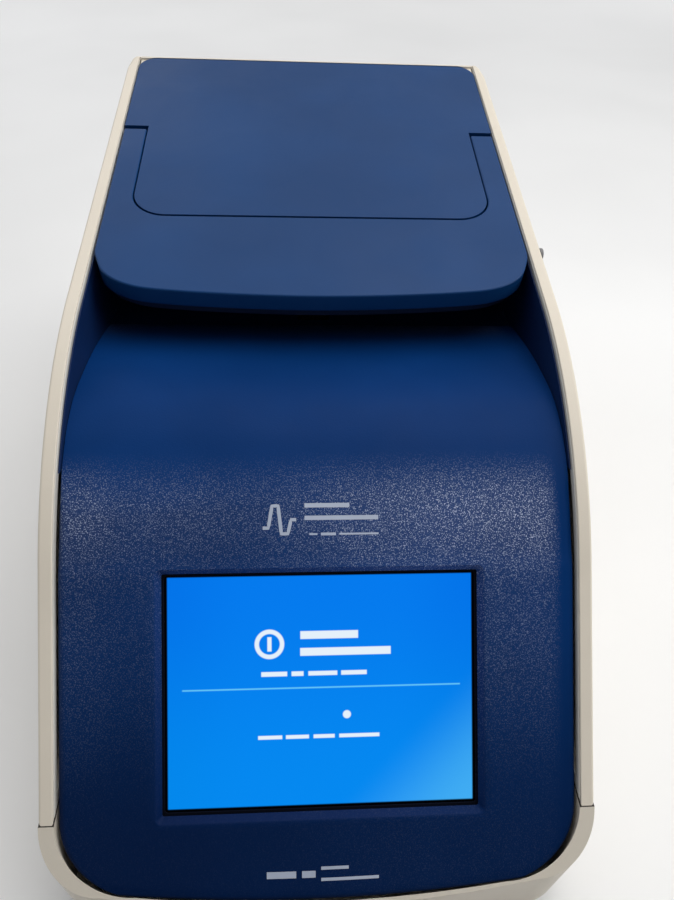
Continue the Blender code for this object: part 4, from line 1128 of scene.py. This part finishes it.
# --------------------------------------------------------------------- hinge
def hinge_spring(name, side):
    """Five coils round the shaft, with a straight tail down."""
    radius, count = 7.5, 5 * 28
    points = []
    for i in range(count + 1):
        a = 2 * math.pi * i / 28
        points.append((side * (36.0 + 20.0 * i / count),
                       PIVOT[0] + radius * math.cos(a), PIVOT[1] + radius * math.sin(a)))
    points.append((side * 56.0, PIVOT[0] + radius, PIVOT[1] - 14))
    curve = bpy.data.curves.new(name, "CURVE")
    curve.dimensions = "3D"
    curve.bevel_depth = 1.1 * MM
    curve.bevel_resolution = 4
    curve.use_fill_caps = True
    spline = curve.splines.new("POLY")
    spline.points.add(len(points) - 1)
    for point, p in zip(spline.points, points):
        point.co = (p[0] * MM, p[1] * MM, p[2] * MM, 1)
    path = new_object(name + "_path", curve)
    mesh = evaluated_mesh(path)
    mesh.name = name
    bpy.data.objects.remove(path, do_unlink=True)
    bm = bmesh.new()
    bm.from_mesh(mesh)
    bmesh.ops.remove_doubles(bm, verts=bm.verts, dist=1e-6)
    bm.to_mesh(mesh)
    bm.free()
    mesh.materials.clear()
    mesh.materials.append(STEEL.m)
    shade(mesh, 50)
    hang(new_object(name, mesh), "housing", name)


def hinge_shaft():
    """Chamfered ends and a groove near each."""
    end = [(4.0, 89.1), (3.5, 89.4), (3.5, 90.2), (4.0, 90.5), (4.0, 94.4), (3.4, 95), (0, 95)]
    profile = [(r, -h) for r, h in reversed(end)] + end
    shaft = lathe(profile, about("X", 0, *PIVOT), 48, "hinge_shaft", STEEL)
    done(shaft, "housing", "hinge_shaft", clean=False)


# ----------------------------------------------------------------------- lid
# front edge of the handle (x, y), middle to right
HANDLE_FRONT = [(0, -23.8), (30, -23.1), (56, -21.6), (75, -19.9), (86, -18.2), (94, -15.4),
                (100, -11.8), (105.2, -6.5), (108.4, 0.5), (LID_HALF_W, 9.0)]
HANDLE_EDGE = [(min(x, LID_HALF_W), y)
               for x, y in curve_through([(-30, -23.1)] + HANDLE_FRONT + [(LID_HALF_W, 20.0)], 2.0)
               if x >= -0.01 and y <= 9.01]
HANDLE_EDGE[0] = (0.0, -23.8)


def handle_plan(grow=0.0, reach=0.0):
    """U-shaped outline (x, s). With a reach it is the space the handle needs in the lid."""
    if reach:
        right = [(0, -16 - reach), (LID_HALF_W + reach, -16 - reach)]
    else:
        right = [(x, s_of(y)) for x, y in HANDLE_EDGE]
    inner_x, inner_s, r = ARM_IN - grow, s_of(HANDLE_BACK_Y) + grow, 19.0 - grow
    end = ARM_END + (3.0 if reach else 0.0)
    right += [(LID_HALF_W + reach, end), (inner_x, end)]
    for i in range(15):
        a = math.radians(90 * i / 14)
        right.append((inner_x - r + r * math.cos(a), inner_s + r - r * math.sin(a)))
    return right + [(-x, s) for x, s in reversed(right) if x > 0]


def lid_cover():
    front_s, notch_s = s_of(HANDLE_BACK_Y) + 0.8, ARM_END + 3.0
    wide, inner = (-130, 130), (-107.2, 107.2)
    cover = block((-LID_HALF_W, LID_HALF_W), (front_s, 200.0), (-5.0, 0.6), "lid_cover",
                  BLUE_LID, place=LID_FRAME)
    cut(cover, barrel(LID_HALF_W, 0.0), op="UNION")
    # keep only the lower part of the barrel, under the slope
    cut(cover, block(wide, (0, 260), (0.0, 40.0), place=LID_FRAME),
        block(wide, (140, 240), (180, 204)),
        block(wide, (140, 184), (-60.0, -5.0), place=LID_FRAME))
    hollow = barrel(inner[1], -SKIN)
    cut(hollow, block(wide, (100, 260), (-SKIN, 40.0), place=LID_FRAME))
    bake(hollow)
    cut(cover, hollow,
        block((-94.4, 94.4), (front_s + 2.0, 200.0), (-30.0, -SKIN), place=LID_FRAME),
        block(inner, (notch_s + SKIN, 196.0), (-30.0, -SKIN), place=LID_FRAME),
        prism(handle_plan(grow=0.8, reach=12.0), LID_FRAME, -30.0, 10.0),
        *(block((x - 7, x + 7), (190, 216), (190, 230)) for x in (-HINGE_X, HINGE_X)),
        *(drill(2.7, -3, 3, about("X", x, *HANDLE_PIVOT)) for x in (-95.6, 95.6)))
    done(cover, "lid", "lid_cover", width=0.5, angle=50)


def lid_handle():
    grip_blue = moulded("blue_handle_grip", (6, 18, 42), rough=0.5, grain=2200.0,
                        depth=0.00004, fleck=0.05)
    handle = prism(handle_plan(), LID_FRAME, -HANDLE_T, 0.0, "lid_handle", BLUE_LID)
    for x in (-99, 99):
        cut(handle, drill(2.6, -8, 8, about("X", x, *HANDLE_PIVOT)))
    done(handle, "handle", "lid_handle", width=1.0, seg=4, angle=50)
    # ridge under the front edge
    ridge = [(x * 0.985, s_of(y + 1.6)) for x, y in HANDLE_EDGE if x < 104]
    ridge += [(x, s + 9.0) for x, s in reversed(ridge)]
    ridge += [(-x, s) for x, s in reversed(ridge) if x > 0.01]
    ob = prism(ridge, LID_FRAME, -GRIP_T, -HANDLE_T + 0.6, "handle_grip_ridge", grip_blue)
    done(ob, "handle", width=0.9, angle=50)
    for name, x in (("handle_pin_left", -97.6), ("handle_pin_right", 97.6)):
        pin = rounded_puck(name, about("X", x, *HANDLE_PIVOT), radius=2.3, height=17.6,
                           edge=0.5, mat=STEEL, segments=36)
        done(pin, "handle", name, clean=False)


# -------------------------------------------------- nodes kept from the frame
# material, edge width
KEPT = {
    "lid_base": (BLUE_DEEP, 0.6), "heated_platen": (ALU, 0.4), "platen_heater": (HEATER, 0.3),
    # latch hook and keeper: near-black as painted shade under the lid
    "platen_insulator": (FOAM, 0.6), "latch_hook": (SHADE_DARK_STEEL, 0.4),
    "latch_keeper": (SHADE_DARK_STEEL, 0.4), "hinge_bracket_left": (ZINC, 0.5),
    "hinge_bracket_right": (ZINC, 0.5), "display_module": (ZINC, 0.4),
    "display_bracket": (ZINC, 0.4), "control_board": (BOARD, 0.2), "chassis_plate": (ZINC, 0.3),
    "power_supply": (ZINC, 0.6), "driver_board": (BOARD, 0.3), "heat_sink": (ALU_X, 0.2),
    "air_duct": (BLACK, 0.5), "cooling_fan_frame": (BLACK, 0.5),
    "cooling_fan_rotor": (BLACK, 0.3), "rear_fan_frame": (BLACK, 0.5),
    "rear_fan_rotor": (BLACK, 0.3),
    **{f"peltier_module_{k}": (CERAMIC, 0.3) for k in range(1, 7)},
}


def refine_kept():
    for name, (mat, width) in KEPT.items():
        node = NODES[name]
        node.data.materials.clear()
        node.data.materials.append(mat.m)
        add_bevel(node, width, 2, 40)
        add_even_normals(node)
        shade(node.data, 35)


# ------------------------------------------------- floor, lights, world, camera
def pale_floor():
    """A wide floor that brightens away from the object, for the camera only."""
    bm = bmesh.new()
    bmesh.ops.create_grid(bm, x_segments=2, y_segments=2, size=9000.0)
    m = Mat("pale_floor", (238, 238, 238), rough=0.6)
    m.base(m.mix(m.ramp(m.noise(3.0), 0.3, 0.7), (236, 236, 236), (242, 242, 242)))
    x, y, _ = m.xyz()
    away = m.length(x, y)
    seen = m.node("ShaderNodeLightPath").outputs["Is Camera Ray"]
    m.shader.inputs["Emission Color"].default_value = (1.0, 1.0, 1.0, 1.0)
    m.link(m.mul(m.ramp(away, 0.7, 2.8, high=0.5), seen), m.shader.inputs["Emission Strength"])
    mesh_ob(bm, "floor", m)


def area(name, at, aim, size, power, colour):
    data = bpy.data.lights.new(name, "AREA")
    data.shape = "RECTANGLE"
    data.size, data.size_y = size
    data.energy = power
    data.color = colour
    light = bpy.data.objects.new(name, data)
    bpy.context.scene.collection.objects.link(light)
    light.location = at
    light.rotation_euler = (Vector(aim) - Vector(at)).to_track_quat("-Z", "Y").to_euler()


def lights():
    warm, cool = (1.0, 0.99, 0.97), (0.97, 0.98, 1.0)
    area("key", at=(0.35, 0.20, 1.60), aim=(0, 0.0, 0.15), size=(1.6, 1.2), power=15.0,
         colour=warm)
    area("side", at=(1.35, -0.15, 0.85), aim=(0, -0.05, 0.1), size=(0.9, 0.9), power=7.0,
         colour=warm)
    area("back", at=(-0.7, 1.2, 0.9), aim=(0, 0.1, 0.1), size=(1.0, 0.8), power=2.0,
         colour=cool)


def studio_world():
    """Dim to the front and brighter to the back; the camera sees an even pale grey."""
    world = bpy.data.worlds.new("studio")
    bpy.context.scene.world = world
    world.use_nodes = True
    nodes, link = world.node_tree.nodes, world.node_tree.links.new
    lit = nodes["Background"]
    coord = nodes.new("ShaderNodeTexCoord")
    split = nodes.new("ShaderNodeSeparateXYZ")
    link(coord.outputs["Generated"], split.inputs[0])
    ramp = nodes.new("ShaderNodeMapRange")
    ramp.interpolation_type = "SMOOTHSTEP"
    link(split.outputs["Y"], ramp.inputs["Value"])
    for key, value in (("From Min", -0.9), ("From Max", 0.3), ("To Min", 0.12), ("To Max", 0.55)):
        ramp.inputs[key].default_value = value
    link(ramp.outputs["Result"], lit.inputs["Strength"])
    lit.inputs["Color"].default_value = (0.97, 0.98, 1.0, 1.0)
    pale = nodes.new("ShaderNodeBackground")
    pale.inputs["Color"].default_value = (0.93, 0.935, 0.94, 1.0)
    pale.inputs["Strength"].default_value = 0.92
    path = nodes.new("ShaderNodeLightPath")
    pick = nodes.new("ShaderNodeMixShader")
    link(path.outputs["Is Camera Ray"], pick.inputs[0])
    link(lit.outputs[0], pick.inputs[1])
    link(pale.outputs[0], pick.inputs[2])
    link(pick.outputs[0], nodes["World Output"].inputs["Surface"])


def camera():
    data = bpy.data.cameras.new("camera")
    data.lens = 28.0
    data.sensor_width = 36.0
    cam = bpy.data.objects.new("camera", data)
    scene = bpy.context.scene
    scene.collection.objects.link(cam)
    cam.location = (-0.01138, -0.31672, 0.39108)
    cam.rotation_euler = tuple(math.radians(a) for a in (45.256, -2.237, -2.736))
    scene.camera = cam
    scene.view_settings.view_transform = "Standard"


# ===================================================================== build
side_panel("side_panel_left", -1)
side_panel("side_panel_right", 1)
base_tray()
floor_screws()
feet()
side_plug()
front_fascia()
printed_marks()
display()
rear_panel()
power_inlet()
power_switch()
ethernet_port()
usb_port()
deck_cover()
block_surround()
for zone in range(6):
    well_plate(f"sample_block_zone_{zone + 1}", (zone - 2.5) * 2 * WELL_PITCH)
hinge_spring("hinge_spring_left", -1)
hinge_spring("hinge_spring_right", 1)
hinge_shaft()
lid_cover()
lid_handle()
refine_kept()
for cutter in CUTTERS:
    bpy.data.objects.remove(cutter, do_unlink=True)
pale_floor()
lights()
studio_world()
camera()

bpy.context.view_layer.update()
